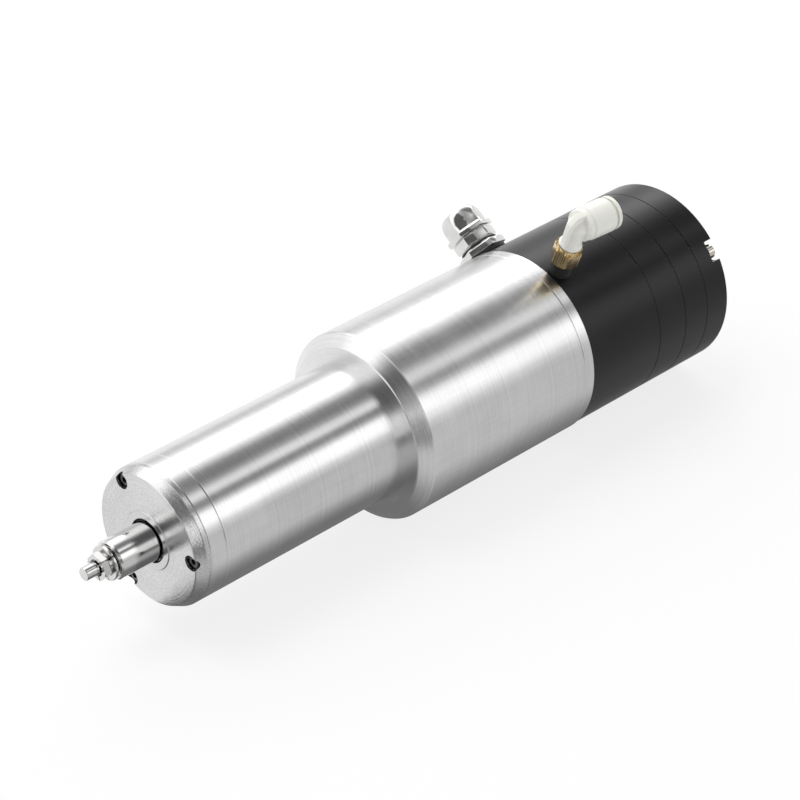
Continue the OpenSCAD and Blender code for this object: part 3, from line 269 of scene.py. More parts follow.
def object_place(tree):
    return tree.add("ShaderNodeTexCoord", output="Object")


def soft_edges(tree, width):
    """The world normal, rounded off where two faces meet."""
    return tree.add("ShaderNodeBevel", {"samples": 6}, {"Radius": width})


def turned_to(tree, vector, kind, start, end):
    return tree.add(
        "ShaderNodeVectorTransform",
        {"vector_type": kind, "convert_from": start, "convert_to": end},
        (vector,),
    )


def axis_terms(tree, width):
    """What a surface turned about the X axis looks like at one spot: place, normal,
    the length along its profile and the direction in which the profile runs. Its edges
    are rounded off over the given width."""
    place = object_place(tree)
    normal = turned_to(tree, soft_edges(tree, width), "NORMAL", "WORLD", "OBJECT")
    x, y, z = tree.split(place)
    nx, ny, nz = tree.split(normal)
    radius = (y * y + z * z).root().least(AXIS_GAP)
    out_y, out_z = y / radius, z / radius
    outward = ny * out_y + nz * out_z
    along = tree.combine(0.0 - outward, nx * out_y, nx * out_z)
    profile = nx * radius - outward * x
    return place, normal, profile, along


def turned_normal(tree, terms, pitch, depth, grain=0.0):
    """A normal that leans back and forth across the fine grooves of a turning tool."""
    place, normal, profile, along = terms
    lean = (tree.line_noise(profile / pitch, detail=2.0) - 0.5) * (2.0 * depth)
    leaned = tree.vector("ADD", normal, tree.scaled(along, lean))
    if grain:
        speck = tree.noise(place, 3200.0, detail=1.0, output=1)
        speck = tree.vector("SUBTRACT", speck, (0.5, 0.5, 0.5))
        leaned = tree.vector("ADD", leaned, tree.scaled(speck, grain))
    return turned_to(tree, tree.vector("NORMALIZE", leaned), "NORMAL", "OBJECT", "WORLD")


def turned_metal(
    name, colour, dark, roughness, pitch, depth, mottle=0.04, grain=0.0, edge=FINE_EDGE
):
    """Bright metal with the fine circular grooves, feed bands and faint stains of turning."""
    material, tree = new_finish(name)
    terms = axis_terms(tree, edge)
    place, _, profile, _ = terms
    feed = tree.line_noise(profile / (BAND_GROOVES * pitch), detail=3.0)
    stain = tree.noise(place, 45.0, detail=4.0)
    streak = tree.noise(tree.vector("MULTIPLY", place, (30.0, 900.0, 900.0)), 1.0)
    share = (feed - 0.5) * 0.5 + (stain - 0.5) * 0.8 + (streak - 0.5) * 0.3 + 0.5
    if grain:
        share = share + (tree.noise(place, 1500.0, detail=2.0) - 0.5) * (6.0 * grain)
    share = share.ramp(0.2, 0.8)
    surface(
        tree,
        {
            "Metallic": 1.0,
            "Base Color": tree.mix(share, dark, colour),
            "Roughness": roughness + (feed - 0.5) * mottle + (stain - 0.5) * mottle,
            "Normal": turned_normal(tree, terms, pitch, depth, grain),
        },
    )
    return material


def crowned(tree, place, normal, share):
    """Lets the gland's polished flats swell a little about the gland's own axis. The
    flats of the two wrench hexagons are nearly level, dome and neck swell in full."""
    turn = math.radians(GLAND_ANGLE)
    axis = (0.0, -math.sin(turn), math.cos(turn))
    arm = tree.vector("SUBTRACT", place, (GLAND_X * MM, 0.0, 0.0))
    reach = tree.add(
        "ShaderNodeVectorMath", {"operation": "DOT_PRODUCT"}, (arm, axis), output=1
    )
    outward = tree.vector("SUBTRACT", arm, tree.scaled(axis, reach))
    outward = tree.vector("NORMALIZE", outward)
    dome = reach.ramp(DOME_FOOT * MM, (DOME_FOOT + CROWN_STEP) * MM)
    neck_low = reach.ramp(NECK_LOW * MM, (NECK_LOW + CROWN_STEP) * MM)
    neck_top = reach.ramp((NECK_TOP - CROWN_STEP) * MM, NECK_TOP * MM)
    full = dome.least(neck_low * (1.0 - neck_top))
    swell = (full * (1.0 - LEVEL_SWELL) + LEVEL_SWELL) * share
    return tree.vector("NORMALIZE", tree.vector("ADD", normal, tree.scaled(outward, swell)))


def plated_metal(name, colour, dark, roughness, grain=0.0, edge=SOFT_EDGE, crown=0.0):
    """Smooth metal: plating or a bearing finish with hairline scratches and a little haze."""
    material, tree = new_finish(name)
    place = object_place(tree)
    haze = tree.noise(place, 90.0, detail=5.0)
    hair = tree.noise(tree.vector("MULTIPLY", place, (300.0, 4000.0, 3000.0)), 1.0, detail=1.0)
    share = ((haze - 0.5) * 1.2 + (hair - 0.5) * 0.5 + 0.6).ramp(0.1, 0.9)
    normal = soft_edges(tree, edge)
    if crown:
        normal = crowned(tree, place, normal, crown)
    surface(
        tree,
        {
            "Metallic": 1.0,
            "Base Color": tree.mix(share, dark, colour),
            "Roughness": roughness + (haze - 0.5) * 0.06,
            "Normal": tree.bump(0.10 + grain, 0.00005, hair * 0.6 + haze, normal),
        },
    )
    return material


def drawn_brass(name, colour, dark):
    """Brass cut from drawn hexagon bar, with streaks along the stud, and painted shade, dark
    and matt, on its thread below the hexagon."""
    material, tree = new_finish(name)
    own = tree.add(
        "ShaderNodeMapping",
        None,
        {"Vector": object_place(tree), "Location": (-ELBOW_X * MM, 0, 0),
         "Rotation": (-math.radians(ELBOW_ANGLE), 0, 0)},
    )
    height = tree.split(own)[2]
    streak = tree.noise(tree.vector("MULTIPLY", own, (2400.0, 2400.0, 90.0)), 1.0, detail=3.0)
    haze = tree.noise(own, 220.0, detail=3.0)
    metal = tree.mix((streak * 0.9 + haze * 0.3 - 0.1).ramp(0.30, 0.62), dark, colour)
    # Painted shade: below the hexagon the stud's thread turns dark, matt and not metallic
    thread_shade = 1.0 - height.ramp((STUD_HEX - 0.25) * MM, (STUD_HEX + 0.05) * MM)
    surface(
        tree,
        {
            "Base Color": tree.mix(thread_shade, metal, THREAD_SHADE_COLOUR),
            "Metallic": 1.0 - thread_shade,
            "Roughness": 0.10 + haze * 0.08 + thread_shade * 0.35,
            "Normal": tree.bump(0.35, 0.00005, streak, soft_edges(tree, 0.0002)),
        },
    )
    return material


def anodised(name, colour, light, roughness):
    """Dyed anodised aluminium: satin, with the grain of the turned skin under the dye
    and the pale bloom that such a film shows at a slant."""
    material, tree = new_finish(name)
    terms = axis_terms(tree, FINE_EDGE)
    place, _, profile, _ = terms
    feed = tree.line_noise(profile / DYED_BAND, detail=3.0)
    cloud = tree.noise(place, 28.0, detail=5.0)
    speck = tree.noise(place, 2600.0, detail=1.0)
    share = (cloud - 0.5) * 0.9 + (feed - 0.5) * 0.3 + (speck - 0.5) * 0.3 + 0.4
    surface(
        tree,
        {
            "Metallic": 0.0,
            "IOR": 1.37,
            "Sheen Weight": 0.22,
            "Sheen Roughness": 0.32,
            "Base Color": tree.mix(share.ramp(0.2, 1.0), colour, light),
            "Roughness": roughness + (cloud - 0.5) * 0.10 + (feed - 0.5) * 0.05,
            "Normal": turned_normal(tree, terms, DYED_GROOVE, 0.05),
        },
    )
    return material


def moulded(name, colour, shade, roughness, grain):
    """Moulded plastic or rubber: a fine etched grain and slight changes of tone."""
    material, tree = new_finish(name)
    place = object_place(tree)
    tone = tree.noise(place, 120.0, detail=3.0)
    etch = tree.noise(place, 5200.0, detail=2.0)
    surface(
        tree,
        {
            "Metallic": 0.0,
            "IOR": 1.5,
            "Base Color": tree.mix(((tone - 0.5) * 1.4 + 0.5).ramp(0.0, 1.0), shade, colour),
            "Roughness": roughness + (etch - 0.5) * 0.12,
            "Normal": tree.bump(grain, 0.00006, etch, soft_edges(tree, SOFT_EDGE)),
        },
    )
    return material


def wound_copper(name):
    """Varnished copper wires that run round the end turns."""
    material, tree = new_finish(name)
    place = object_place(tree)
    x, y, z = tree.split(place)
    wires = ((y * y + z * z).root() + x).wave(WIRE_WIDTH)
    tone = tree.noise(place, 300.0, detail=3.0)
    share = wires * 0.6 + tone * 0.4
    surface(
        tree,
        {
            "Metallic": 1.0,
            "Base Color": tree.mix(share, (0.22, 0.07, 0.03), (0.62, 0.27, 0.12)),
            "Roughness": 0.30 + tone * 0.15,
            "Normal": tree.bump(0.6, 0.0002, wires),
        },
    )
    return material


def stacked_sheets(name):
    """Electrical steel sheets, half a millimetre thick, stacked along the axis."""
    material, tree = new_finish(name)
    place = object_place(tree)
    sheets = tree.split(place)[0].wave(SHEET_WIDTH)
    rust = tree.noise(place, 160.0, detail=4.0)
    share = sheets * 0.5 + rust * 0.5
    surface(
        tree,
        {
            "Metallic": 1.0,
            "Base Color": tree.mix(share, (0.10, 0.10, 0.11), (0.36, 0.36, 0.38)),
            "Roughness": 0.42 + (rust - 0.5) * 0.2,
            "Normal": tree.bump(0.5, 0.0001, sheets),
        },
    )
    return material


# Sizes and colours that a user would change


def colour_property(name, description, default):
    return bpy.props.FloatVectorProperty(
        name=name,
        description=description,
        default=default,
        subtype="COLOR",
        size=3,
        min=0.0,
        max=1.0,
    )


def length_property(name, description, default):
    return bpy.props.FloatProperty(
        name=name, description=description, default=default, min=0.0, unit="LENGTH"
    )


class SpindleColours(bpy.types.PropertyGroup):
    steel: colour_property("Turned steel", "Colour of nose and housing", (0.80, 0.80, 0.80))
    steel_dark: colour_property("Turned steel, dark", "Its darker bands", (0.70, 0.70, 0.705))
    cover: colour_property("Ground steel", "Colour of the front cover", (0.69, 0.69, 0.69))
    polish: colour_property("Polished steel", "Colour of shaft and collet", (0.80, 0.795, 0.79))
    black: colour_property(
        "Black anodising", "Colour of the rear housings", (0.003, 0.003, 0.0034)
    )
    brass: colour_property("Brass", "Colour of the elbow's stud", (0.88, 0.69, 0.39))
    nickel: colour_property("Nickel", "Colour of the cable gland", (0.74, 0.74, 0.735))
    plastic: colour_property("White plastic", "Colour of the air elbow", (0.86, 0.86, 0.80))
    floor: colour_property("Floor", "Colour of the floor", (0.86, 0.86, 0.86))


class SpindleSizes(bpy.types.PropertyGroup):
    groove_pitch: length_property(
        "Turning groove", "Distance between the fine grooves of the turned skins", 0.00016
    )
    feed_pitch: length_property(
        "Grinding mark", "Distance between the marks on the ground shaft", 0.00010
    )
    thread_pitch: length_property("Stud thread", "Pitch of the brass stud's thread", 0.0009)
    thread_depth: length_property("Thread depth", "Depth of the brass stud's thread", 0.0003)
    floor_drop: length_property("Floor drop", "Gap between the spindle and the floor", 0.0)
    floor_width: length_property("Floor width", "Width of the square floor", 12.0)
    # The grey card is painted shade: it darkens the lower flanks in reflections only
    card_width: length_property(
        "Grey card", "How far the card that darkens the lower flanks reaches forward", 2.2
    )
    tent_radius: length_property("Tent radius", "Radius of the light tent", 2.4)
    tent_length: length_property(
        "Tent length", "How far the light tent runs out in front of the nose", 24.0
    )


# Finishes


def give(material, names):
    """Puts a material in every slot of the named solids."""
    for name in names:
        slots = NODES[name].material_slots
        if len(slots) == 0:
            NODES[name].data.materials.append(material)
        for slot in slots:
            slot.material = material


def coat(piece, material):
    """Gives an object one material alone."""
    piece.data.materials.clear()
    piece.data.materials.append(material)


class SPINDLE_OT_bright_housings(bpy.types.Operator):
    """Gives nose, motor housing and shield rim their turned steel"""

    bl_idname = "spindle.bright_housings"
    bl_label = "Bright housings"

    def execute(self, context):
        colours = context.scene.spindle_colours
        sizes = context.scene.spindle_sizes
        steel, dark = tuple(colours.steel), tuple(colours.steel_dark)
        cover = tuple(colours.cover)
        for name, bright, dull, roughness, depth, extra, solids in (
            ("turned_housing", steel, dark, 0.22, 0.30, {}, ["motor_housing", "rear_shield"]),
            ("turned_barrel", steel, dark, 0.17, 0.26, {}, ["clamp_ring", "nose_barrel"]),
            ("ground_cover", cover, toned(cover, 0.84), 0.19, 0.22, {"grain": 0.25},
             ["front_cover"]),
            ("turned_ring", toned(cover, 0.96), toned(cover, 0.86), 0.16, 0.18,
             {"edge": 0.0006}, ["labyrinth_ring"]),
        ):
            give(
                turned_metal(name, bright, dull, roughness, sizes.groove_pitch, depth, **extra),
                solids,
            )
        return {"FINISHED"}


class SPINDLE_OT_shaft_line(bpy.types.Operator):
    """Gives shaft, collet, tool shank and clamp rods their ground steel"""

    bl_idname = "spindle.shaft_line"
    bl_label = "Shaft line"

    def execute(self, context):
        colours = context.scene.spindle_colours
        sizes = context.scene.spindle_sizes
        polish = tuple(colours.polish)
        shaft = turned_metal(
            "ground_shaft", polish, (0.74, 0.735, 0.73), 0.085, sizes.feed_pitch, 0.10,
            mottle=0.02,
        )
        collet = turned_metal(
            "polished_collet", toned(polish, 0.92), (0.62, 0.615, 0.61), 0.06,
            sizes.feed_pitch, 0.06, mottle=0.02, edge=0.0002,
        )
        give(shaft, ["spindle_shaft"])
        give(collet, ["collet", "tool_pin", "drawbar", "piston_rod", "piston_spacer"])
        return {"FINISHED"}


class SPINDLE_OT_black_housings(bpy.types.Operator):
    """Gives the rear housings their black anodising"""

    bl_idname = "spindle.black_housings"
    bl_label = "Black housings"

    def execute(self, context):
        colours = context.scene.spindle_colours
        skin = anodised(
            "black_anodising", tuple(colours.black), (0.010, 0.010, 0.011), 0.30
        )
        give(skin, ["connection_housing", "front_cylinder", "rear_cylinder", "rear_cover"])
        return {"FINISHED"}


class SPINDLE_OT_inner_works(bpy.types.Operator):
    """Gives motor, bearings, pistons, seals and inner screws their finishes"""

    bl_idname = "spindle.inner_works"
    bl_label = "Inner works"

    def execute(self, context):
        for name, bright, dull, roughness, solids in (
            ("bearing_steel", (0.70, 0.70, 0.71), (0.55, 0.55, 0.56), 0.12,
             ["front_outer_races", "front_inner_races", "front_balls", "rear_outer_races",
              "rear_inner_races", "rear_balls"]),
            ("wave_spring", (0.52, 0.52, 0.53), (0.34, 0.34, 0.35), 0.24,
             ["preload_spring", "grab_ring"]),
            ("hardened_steel", (0.16, 0.16, 0.165), (0.06, 0.06, 0.065), 0.30,
             ["cover_screws", "barrel_screws", "shield_screws", "connection_screws",
              "front_lock_nut", "rear_lock_nut", "piston_nut"]),
        ):
            give(plated_metal(name, bright, dull, roughness), solids)
        for name, bright, dull, roughness, pitch, depth, solids in (
            ("light_alloy", (0.80, 0.80, 0.81), (0.66, 0.66, 0.67), 0.28, 0.00025, 0.12,
             ["pistons", "rotor_end_rings"]),
            ("bronze", (0.60, 0.42, 0.20), (0.42, 0.28, 0.12), 0.25, 0.00020, 0.10,
             ["front_cages", "rear_cages", "drawbar_guide"]),
        ):
            give(turned_metal(name, bright, dull, roughness, pitch, depth), solids)
        for name, colour, shade, roughness, solids in (
            ("black_rubber", (0.022, 0.022, 0.022), (0.012, 0.012, 0.012), 0.55,
             ["piston_seals", "rod_seals", "gland_gasket", "stud_o_ring", "tube_seal"]),
            ("grey_seal", (0.060, 0.060, 0.062), (0.035, 0.035, 0.036), 0.60,
             ["gland_insert"]),
        ):
            give(moulded(name, colour, shade, roughness, 0.4), solids)
        give(wound_copper("copper_winding"), ["stator_winding"])
        give(stacked_sheets("stacked_sheets"), ["stator_core", "rotor_core"])
        return {"FINISHED"}


# Forms of gland and elbow, drawn in millimetres about their own axes

# Least angles in degrees between faces, for a bevel and for an edge that stays sharp
BEVEL_ANGLE, SHARP_ANGLE = 25, 24
# Bevel on the gland's edges, and the grid that rounds the elbow's moulding, in millimetres
GLAND_BEVEL, ELBOW_GRID = 0.12, 0.25


def ring_mesh(profile, axis, steps=64):
    """A closed solid turned about the Z axis (axis 2) or the X axis (axis 0). The profile
    is a list of (place along the axis, radius), and starts and ends on the axis."""
    mesh = bmesh.new()
    rings = []
    for place, radius in profile:
        ring = []
        for i in range(steps if radius else 1):
            angle = 2 * math.pi * i / steps
            u, v = radius * math.cos(angle), radius * math.sin(angle)
            ring.append(mesh.verts.new((u, v, place) if axis == 2 else (place, u, v)))
        rings.append(ring)
    for first, second in zip(rings, rings[1:]):
        for i in range(steps):
            corners = (first[i % len(first)], first[(i + 1) % len(first)],
                       second[(i + 1) % len(second)], second[i % len(second)])
            mesh.faces.new(list(dict.fromkeys(corners)))
    bmesh.ops.recalc_face_normals(mesh, faces=mesh.faces)
    return mesh


def plate_mesh(outline, half):
    """A flat plate in the plane of leg and socket, as thick as twice half."""
    mesh = bmesh.new()
    near = [mesh.verts.new((x, -half, z)) for x, z in outline]
    far = [mesh.verts.new((x, half, z)) for x, z in outline]
    mesh.faces.new(near)
    mesh.faces.new(list(reversed(far)))
    for i in range(len(outline)):
        j = (i + 1) % len(outline)
        mesh.faces.new((near[i], far[i], far[j], near[j]))
    bmesh.ops.recalc_face_normals(mesh, faces=mesh.faces)
    return mesh


def hexagon_mesh(across, low, high, foot_bevel, top_bevel, turn=0.0):
    """A hexagon about the Z axis whose flats lean in at its foot and at its top. Where a
    bevel is 0, two levels are the same and make one ring of corners."""
    mesh = bmesh.new()
    levels = [(low, across - 2 * foot_bevel), (low + foot_bevel, across),
              (high - top_bevel, across), (high, across - 2 * top_bevel)]
    rings = []
    for place, width in dict.fromkeys(levels):
        radius = width / 2 / math.cos(math.radians(30))
        ring = []
        for i in range(6):
            angle = math.radians(60 * i + turn)
            point = (radius * math.cos(angle), radius * math.sin(angle), place)
            ring.append(mesh.verts.new(point))
        rings.append(ring)
    mesh.faces.new(rings[0])
    mesh.faces.new(list(reversed(rings[-1])))
    for first, second in zip(rings, rings[1:]):
        for i in range(6):
            j = (i + 1) % 6
            mesh.faces.new((first[i], first[j], second[j], second[i]))
    bmesh.ops.recalc_face_normals(mesh, faces=mesh.faces)
    return mesh


def placed(name, data):
    """A new object in the scene, at the origin."""
    piece = bpy.data.objects.new(name, data)
    bpy.context.scene.collection.objects.link(piece)
    return piece


def loose_object(name, shape):
    """A new object from a shape that isn't needed any more."""
    mesh = bpy.data.meshes.new(name)
    shape.to_mesh(mesh)
    shape.free()
    return placed(name, mesh)


def applied(piece, name):
    """A new object with the plain mesh that the piece's modifiers give."""
    bpy.context.view_layer.update()
    evaluated = piece.evaluated_get(bpy.context.evaluated_depsgraph_get())
    mesh = bpy.data.meshes.new_from_object(evaluated)
    mesh.name = name
    finished = placed(name, mesh)
    bpy.data.objects.remove(piece)
    return finished


def carved(name, base, steps, place, voxel=0.0, bevel=0.0):
    """Joins and cuts closed shapes one after another, rounds the result off and moves it
    from its own drawing to its place on the spindle."""
    body = loose_object(name + "_core", base)
    others = []
    for i, (operation, shape) in enumerate(steps):
        other = loose_object("%s_step_%d" % (name, i), shape)
        join = body.modifiers.new(operation.lower(), "BOOLEAN")
        join.operation, join.object, join.solver = operation, other, "EXACT"
        others.append(other)
    if voxel:
        grid = body.modifiers.new("grid", "REMESH")
        grid.mode, grid.voxel_size, grid.use_smooth_shade = "VOXEL", voxel, True
        soften = body.modifiers.new("soften", "SMOOTH")
        soften.factor, soften.iterations = 0.5, 2
    if bevel:
        edges = body.modifiers.new("edges", "BEVEL")
        edges.width, edges.segments, edges.limit_method = bevel, 2, "ANGLE"
        edges.angle_limit, edges.harden_normals = math.radians(BEVEL_ANGLE), False
    finished = applied(body, name)
    for other in others:
        bpy.data.objects.remove(other)
    finished.data.transform(place)
    if bevel:
        for face in finished.data.polygons:
            face.use_smooth = True
        finished.data.set_sharp_from_angle(angle=math.radians(SHARP_ANGLE))
    return finished


def radial_place(x, angle, turn, height=0.0):
    """From a drawing about its own axis to an axis that stands on the spindle's side."""
    return (
        Matrix.Rotation(math.radians(angle), 4, "X")
        @ Matrix.Translation((x * MM, 0, 0))
        @ Matrix.Rotation(math.radians(turn), 4, "Z")
        @ Matrix.Translation((0, 0, height * MM))
        @ Matrix.Scale(MM, 4)
    )


def elbow_form():
    """The moulded elbow: a leg with a ball end, a rib over its back, collar and socket."""
    foot = LEG_FOOT - SOCKET_AXIS
    ball, ball_z, leg, leg_foot, collar, panel = 5.0, -0.4, 4.7, 5.5, 8.1, 7.6
    journal, air_way, tube, seal, claws = 3.52, 2.1, 4.05, 6.25, 5.35
    rib_half, web_half = 1.5, 1.6
    arc = [
        (ball_z + ball * math.sin(math.radians(a)), ball * math.cos(math.radians(a)))
        for a in range(-20, 90, 10)
    ]
    leg_profile = [
        (foot, 0), (foot, leg_foot), (foot + 0.9, leg_foot), (foot + 1.5, leg), *arc,
        (ball_z + ball, 0),
    ]
    socket_profile = [
        (1.3, 0), (1.3, 7.3), (1.6, panel), (3.8, panel), (3.9, 7.0), (4.6, 7.0), (4.7, 7.9),
        (5.0, collar), (17.6, collar), (18.0, 7.75), (18.0, 0),
    ]
    leg_bore = [
        (foot - 1, 0), (foot - 1, journal), (foot + 5.5, journal), (foot + 5.5, air_way),
        (0, air_way), (0, 0),
    ]
    socket_bore = [
        (-1.5, 0), (-1.5, air_way), (2.6, air_way), (2.6, tube), (6.2, tube), (6.2, seal),
        (11.6, seal), (11.6, claws), (19, claws), (19, 0),
    ]
    rib = [(-5.3, foot + 0.2), (-6.0, foot + 1.2), (-6.9, 3.0), (-6.9, 3.9), (-3.7, 7.3),
           (-2.9, 7.55), (2.5, 7.55), (2.5, foot + 0.2)]
    web = [(2.0, foot + 2.2), (5.0, foot + 3.2), (5.0, -3.0), (2.0, -3.0)]
    return carved(
        "elbow_moulding",
        ring_mesh(leg_profile, 2),
        [
            ("UNION", ring_mesh(socket_profile, 0)),
            ("UNION", plate_mesh(rib, rib_half)),
            ("UNION", plate_mesh(web, web_half)),
            ("DIFFERENCE", ring_mesh(leg_bore, 2, 48)),
            ("DIFFERENCE", ring_mesh(socket_bore, 0, 48)),
        ],
        radial_place(ELBOW_X, ELBOW_ANGLE, ELBOW_TURN, SOCKET_AXIS),
        voxel=ELBOW_GRID,
    )


def gland_cap_form():
    """The gland's cap nut: a hexagon band under a dome with six arched flats."""
    dome, top, band, flats = 59.7, 69.6, 20.4, 18.3
    thread, insert, mouth = 8.24, 6.75, 5.1
    arc_z, arc_r, rise, reach = dome + 3.4, 6.6, 6.5, 3.5
    arc = [
        (arc_z + rise * math.sin(math.radians(a)), arc_r + reach * math.cos(math.radians(a)))
        for a in range(0, 91, 6)
    ]
    bore = [(55, 0), (55, thread), (64, thread), (64, insert), (67.8, mouth), (68.8, mouth),
            (70, 6.2), (70, 0)]
    return carved(
        "gland_cap",
        ring_mesh([(dome - 1, 0), (dome - 1, arc_r + reach), *arc, (top, 0)], 2, 96),
        [
            ("INTERSECT", hexagon_mesh(flats, dome - 2, top + 1, 0, 0)),
            ("UNION", hexagon_mesh(band, 56.5, dome + 0.1, 0.35, 0.95)),
            ("DIFFERENCE", ring_mesh(bore, 2, 64)),
        ],
        radial_place(GLAND_X, GLAND_ANGLE, GLAND_TURN),
        bevel=GLAND_BEVEL,
    )


def gland_fitting_form():
    """The gland's body: the thread in the housing, the big hexagon, neck and small hexagon."""
    cable, insert, thread, core, cap_thread = 5.6, 6.72, 8, 8.7, 8.2
    wall, base_hexagon, neck_hexagon = 45.6, 20.8, 18.4
    bore = [(36, 0), (36, cable), (52.1, cable), (52.1, insert), (62, insert), (62, 0)]
    stem = [(36.5, 0), (36.5, thread), (wall, thread), (wall, core), (52.2, core),
            (52.2, cap_thread), (61.6, cap_thread), (61.6, 0)]
    return carved(
        "gland_fitting",
        ring_mesh(stem, 2, 64),
        [
            ("UNION", hexagon_mesh(base_hexagon, wall, 49.7, 0.3, 0.95, -7)),
            ("UNION", hexagon_mesh(neck_hexagon, 51.3, 56.1, 0.35, 0.35)),
            ("DIFFERENCE", ring_mesh(bore, 2, 48)),
        ],
        radial_place(GLAND_X, GLAND_ANGLE, GLAND_TURN),
        bevel=GLAND_BEVEL,
    )


def gland_ring_form():
    """The sealing ring between the fitting's two hexagons."""
    centre, radius, cord = 50.35, 9.0, 0.6
    steps, sides = 72, 12
    mesh = bmesh.new()
    rings = []
    for i in range(steps):
        turn = 2 * math.pi * i / steps
        ring = []
        for j in range(sides):
            around = 2 * math.pi * j / sides
            reach = radius + cord * math.cos(around)
            point = (reach * math.cos(turn), reach * math.sin(turn),
                     centre + cord * math.sin(around))
            ring.append(mesh.verts.new(point))
        rings.append(ring)
    for first, second in zip(rings, rings[1:] + rings[:1]):
        for j in range(sides):
            k = (j + 1) % sides
            mesh.faces.new((first[j], second[j], second[k], first[k])).smooth = True
    bmesh.ops.recalc_face_normals(mesh, faces=mesh.faces)
    piece = loose_object("gland_ring", mesh)
    piece.data.transform(radial_place(GLAND_X, GLAND_ANGLE, GLAND_TURN))
    return piece


def thread_tree():
    """A thread's ridge, wound round the Z axis from the origin up, then put in its place."""
    tree = bpy.data.node_groups.new("thread_turns", "GeometryNodeTree")
    kinds = {"Radius": "Float", "Height": "Float", "Turns": "Float", "Ridge": "Float",
             "Place": "Vector", "Turn": "Vector", "Material": "Material"}
    for name, kind in kinds.items():
        tree.interface.new_socket(
            name=name, in_out="INPUT", socket_type="NodeSocket" + kind
        )
    tree.interface.new_socket(
        name="Geometry", in_out="OUTPUT", socket_type="NodeSocketGeometry"
    )
    build = Tree(tree)
    given = tree.nodes.new("NodeGroupInput")
    radius, height, turns, ridge, place, turn, material = (
        Value(build, given.outputs[name]) for name in kinds
    )
    coil = build.add(
        "GeometryNodeCurveSpiral",
        None,
        {"Resolution": 40, "Rotations": turns, "Start Radius": radius, "End Radius": radius,
         "Height": height},
    )
    section = build.add(
        "GeometryNodeCurvePrimitiveCircle", None, {"Resolution": 6, "Radius": ridge}
    )
    swept = build.add(
        "GeometryNodeCurveToMesh",
        None,
        {"Curve": coil, "Profile Curve": section, "Fill Caps": True},
    )
    moved = build.add(
        "GeometryNodeTransform",
        None,
        {"Geometry": swept, "Translation": place, "Rotation": turn},
    )
    plain = build.add("GeometryNodeRealizeInstances", None, {"Geometry": moved})
    dressed = build.add(
        "GeometryNodeSetMaterial", None, {"Geometry": plain, "Material": material}
    )
    build.add("NodeGroupOutput", None, {0: dressed})
    return tree


def grown(name, tree, inputs):
    """A plain mesh that a geometry tree makes, with its inputs set by socket."""
    piece = loose_object(name + "_source", bmesh.new())
    grow = piece.modifiers.new("grow", "NODES")
    grow.node_group = tree
    for item in tree.interface.items_tree:
        if item.in_out == "INPUT" and item.name in inputs:
            grow[item.identifier] = inputs[item.name]
    return applied(piece, name)


# In metres: how near two corners of a spring are when they're one, and a margin added to its
# joint's stroke
WELD, SPRING_ROOM = 1e-6, 0.00005


class SPINDLE_OT_springs(bpy.types.Operator):
    """Makes the disc springs and the return coil as copies that ride on their bodies"""

    bl_idname = "spindle.springs"
    bl_label = "Springs"

    def execute(self, context):
        steel = plated_metal("spring_steel", (0.52, 0.52, 0.53), (0.34, 0.34, 0.35), 0.28)
        joints = {joint["name"]: joint for joint in frame["record"]["behaviour"]["joints"]}
        for name, node, body, joint in (
            ("disc_spring_stack", "disc_springs", "rotor", "clamp_release"),
            ("return_coil", "return_spring", "housing", "piston_stroke"),
        ):
            shape = bmesh.new()
            shape.from_mesh(NODES[node].data)
            bmesh.ops.remove_doubles(shape, verts=shape.verts, dist=WELD)
            piece = loose_object(name, shape)
            coat(piece, steel)
            give(steel, [node])
            low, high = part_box(node)
            stroke = joints[joint]["range_m"][1] + SPRING_ROOM
            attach(piece, body)
            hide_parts(node)
            1.0 - stroke / (high[0] - low[0])
            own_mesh(piece)
        return {"FINISHED"}


class SPINDLE_OT_cable_gland(bpy.types.Operator):
    """Makes the cable gland's cap, fitting and ring, plates cap, fitting and tie screws, and
    gives the ring rubber
    """

    bl_idname = "spindle.cable_gland"
    bl_label = "Cable gland"

    def execute(self, context):
        colours = context.scene.spindle_colours
        nickel = plated_metal(
            "polished_nickel", tuple(colours.nickel), (0.60, 0.595, 0.58), 0.05,
            grain=0.12, edge=0.00025, crown=0.7,
        )
        screw = plated_metal("plated_screw", (0.78, 0.75, 0.68), (0.62, 0.58, 0.50), 0.16)
        rubber = moulded(
            "sealing_rubber", (0.014, 0.014, 0.014), (0.008, 0.008, 0.008), 0.5, 0.3
        )
        give(screw, ["tie_screws"])
        for piece, node, finish, slot in (
            (gland_cap_form(), "gland_nut", nickel, "nickel"),
            (gland_fitting_form(), "gland_body", nickel, "nickel"),
            (gland_ring_form(), "gland_o_ring", rubber, "black_rubber"),
        ):
            give(finish, [node])
            coat(piece, finish)
            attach(piece, "housing")
            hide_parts(node)
        return {"FINISHED"}


class SPINDLE_OT_air_elbow(bpy.types.Operator):
    """Makes the air elbow's moulding and the stud's thread, and gives them their finishes"""

    bl_idname = "spindle.air_elbow"
    bl_label = "Air elbow"

    def execute(self, context):
        colours, sizes = context.scene.spindle_colours, context.scene.spindle_sizes
        plastic = moulded(
            "white_plastic", tuple(colours.plastic), (0.83, 0.83, 0.77), 0.34, 0.10
        )
        brass = drawn_brass("brass", tuple(colours.brass), (0.26, 0.17, 0.075))
        give(plastic, ["elbow_body", "release_ring"])
        give(brass, ["fitting_stud"])
        elbow = elbow_form()
        coat(elbow, plastic)
        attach(elbow, "elbow")
        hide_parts("elbow_body")

        height = STUD_HEX - STUD_FOOT
        lean = Matrix.Rotation(math.radians(ELBOW_ANGLE), 4, "X")
        thread = grown(
            "stud_thread",
            thread_tree(),
            {
                "Radius": STUD_THREAD_RADIUS * MM,
                "Height": height * MM,
                "Turns": height * MM / sizes.thread_pitch,
                "Ridge": sizes.thread_depth,
                "Place": lean @ Vector((ELBOW_X * MM, 0, STUD_FOOT * MM)),
                "Turn": (math.radians(ELBOW_ANGLE), 0.0, 0.0),
                "Material": brass,
            },
        )
        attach(thread, "housing")
        return {"FINISHED"}


# Stage

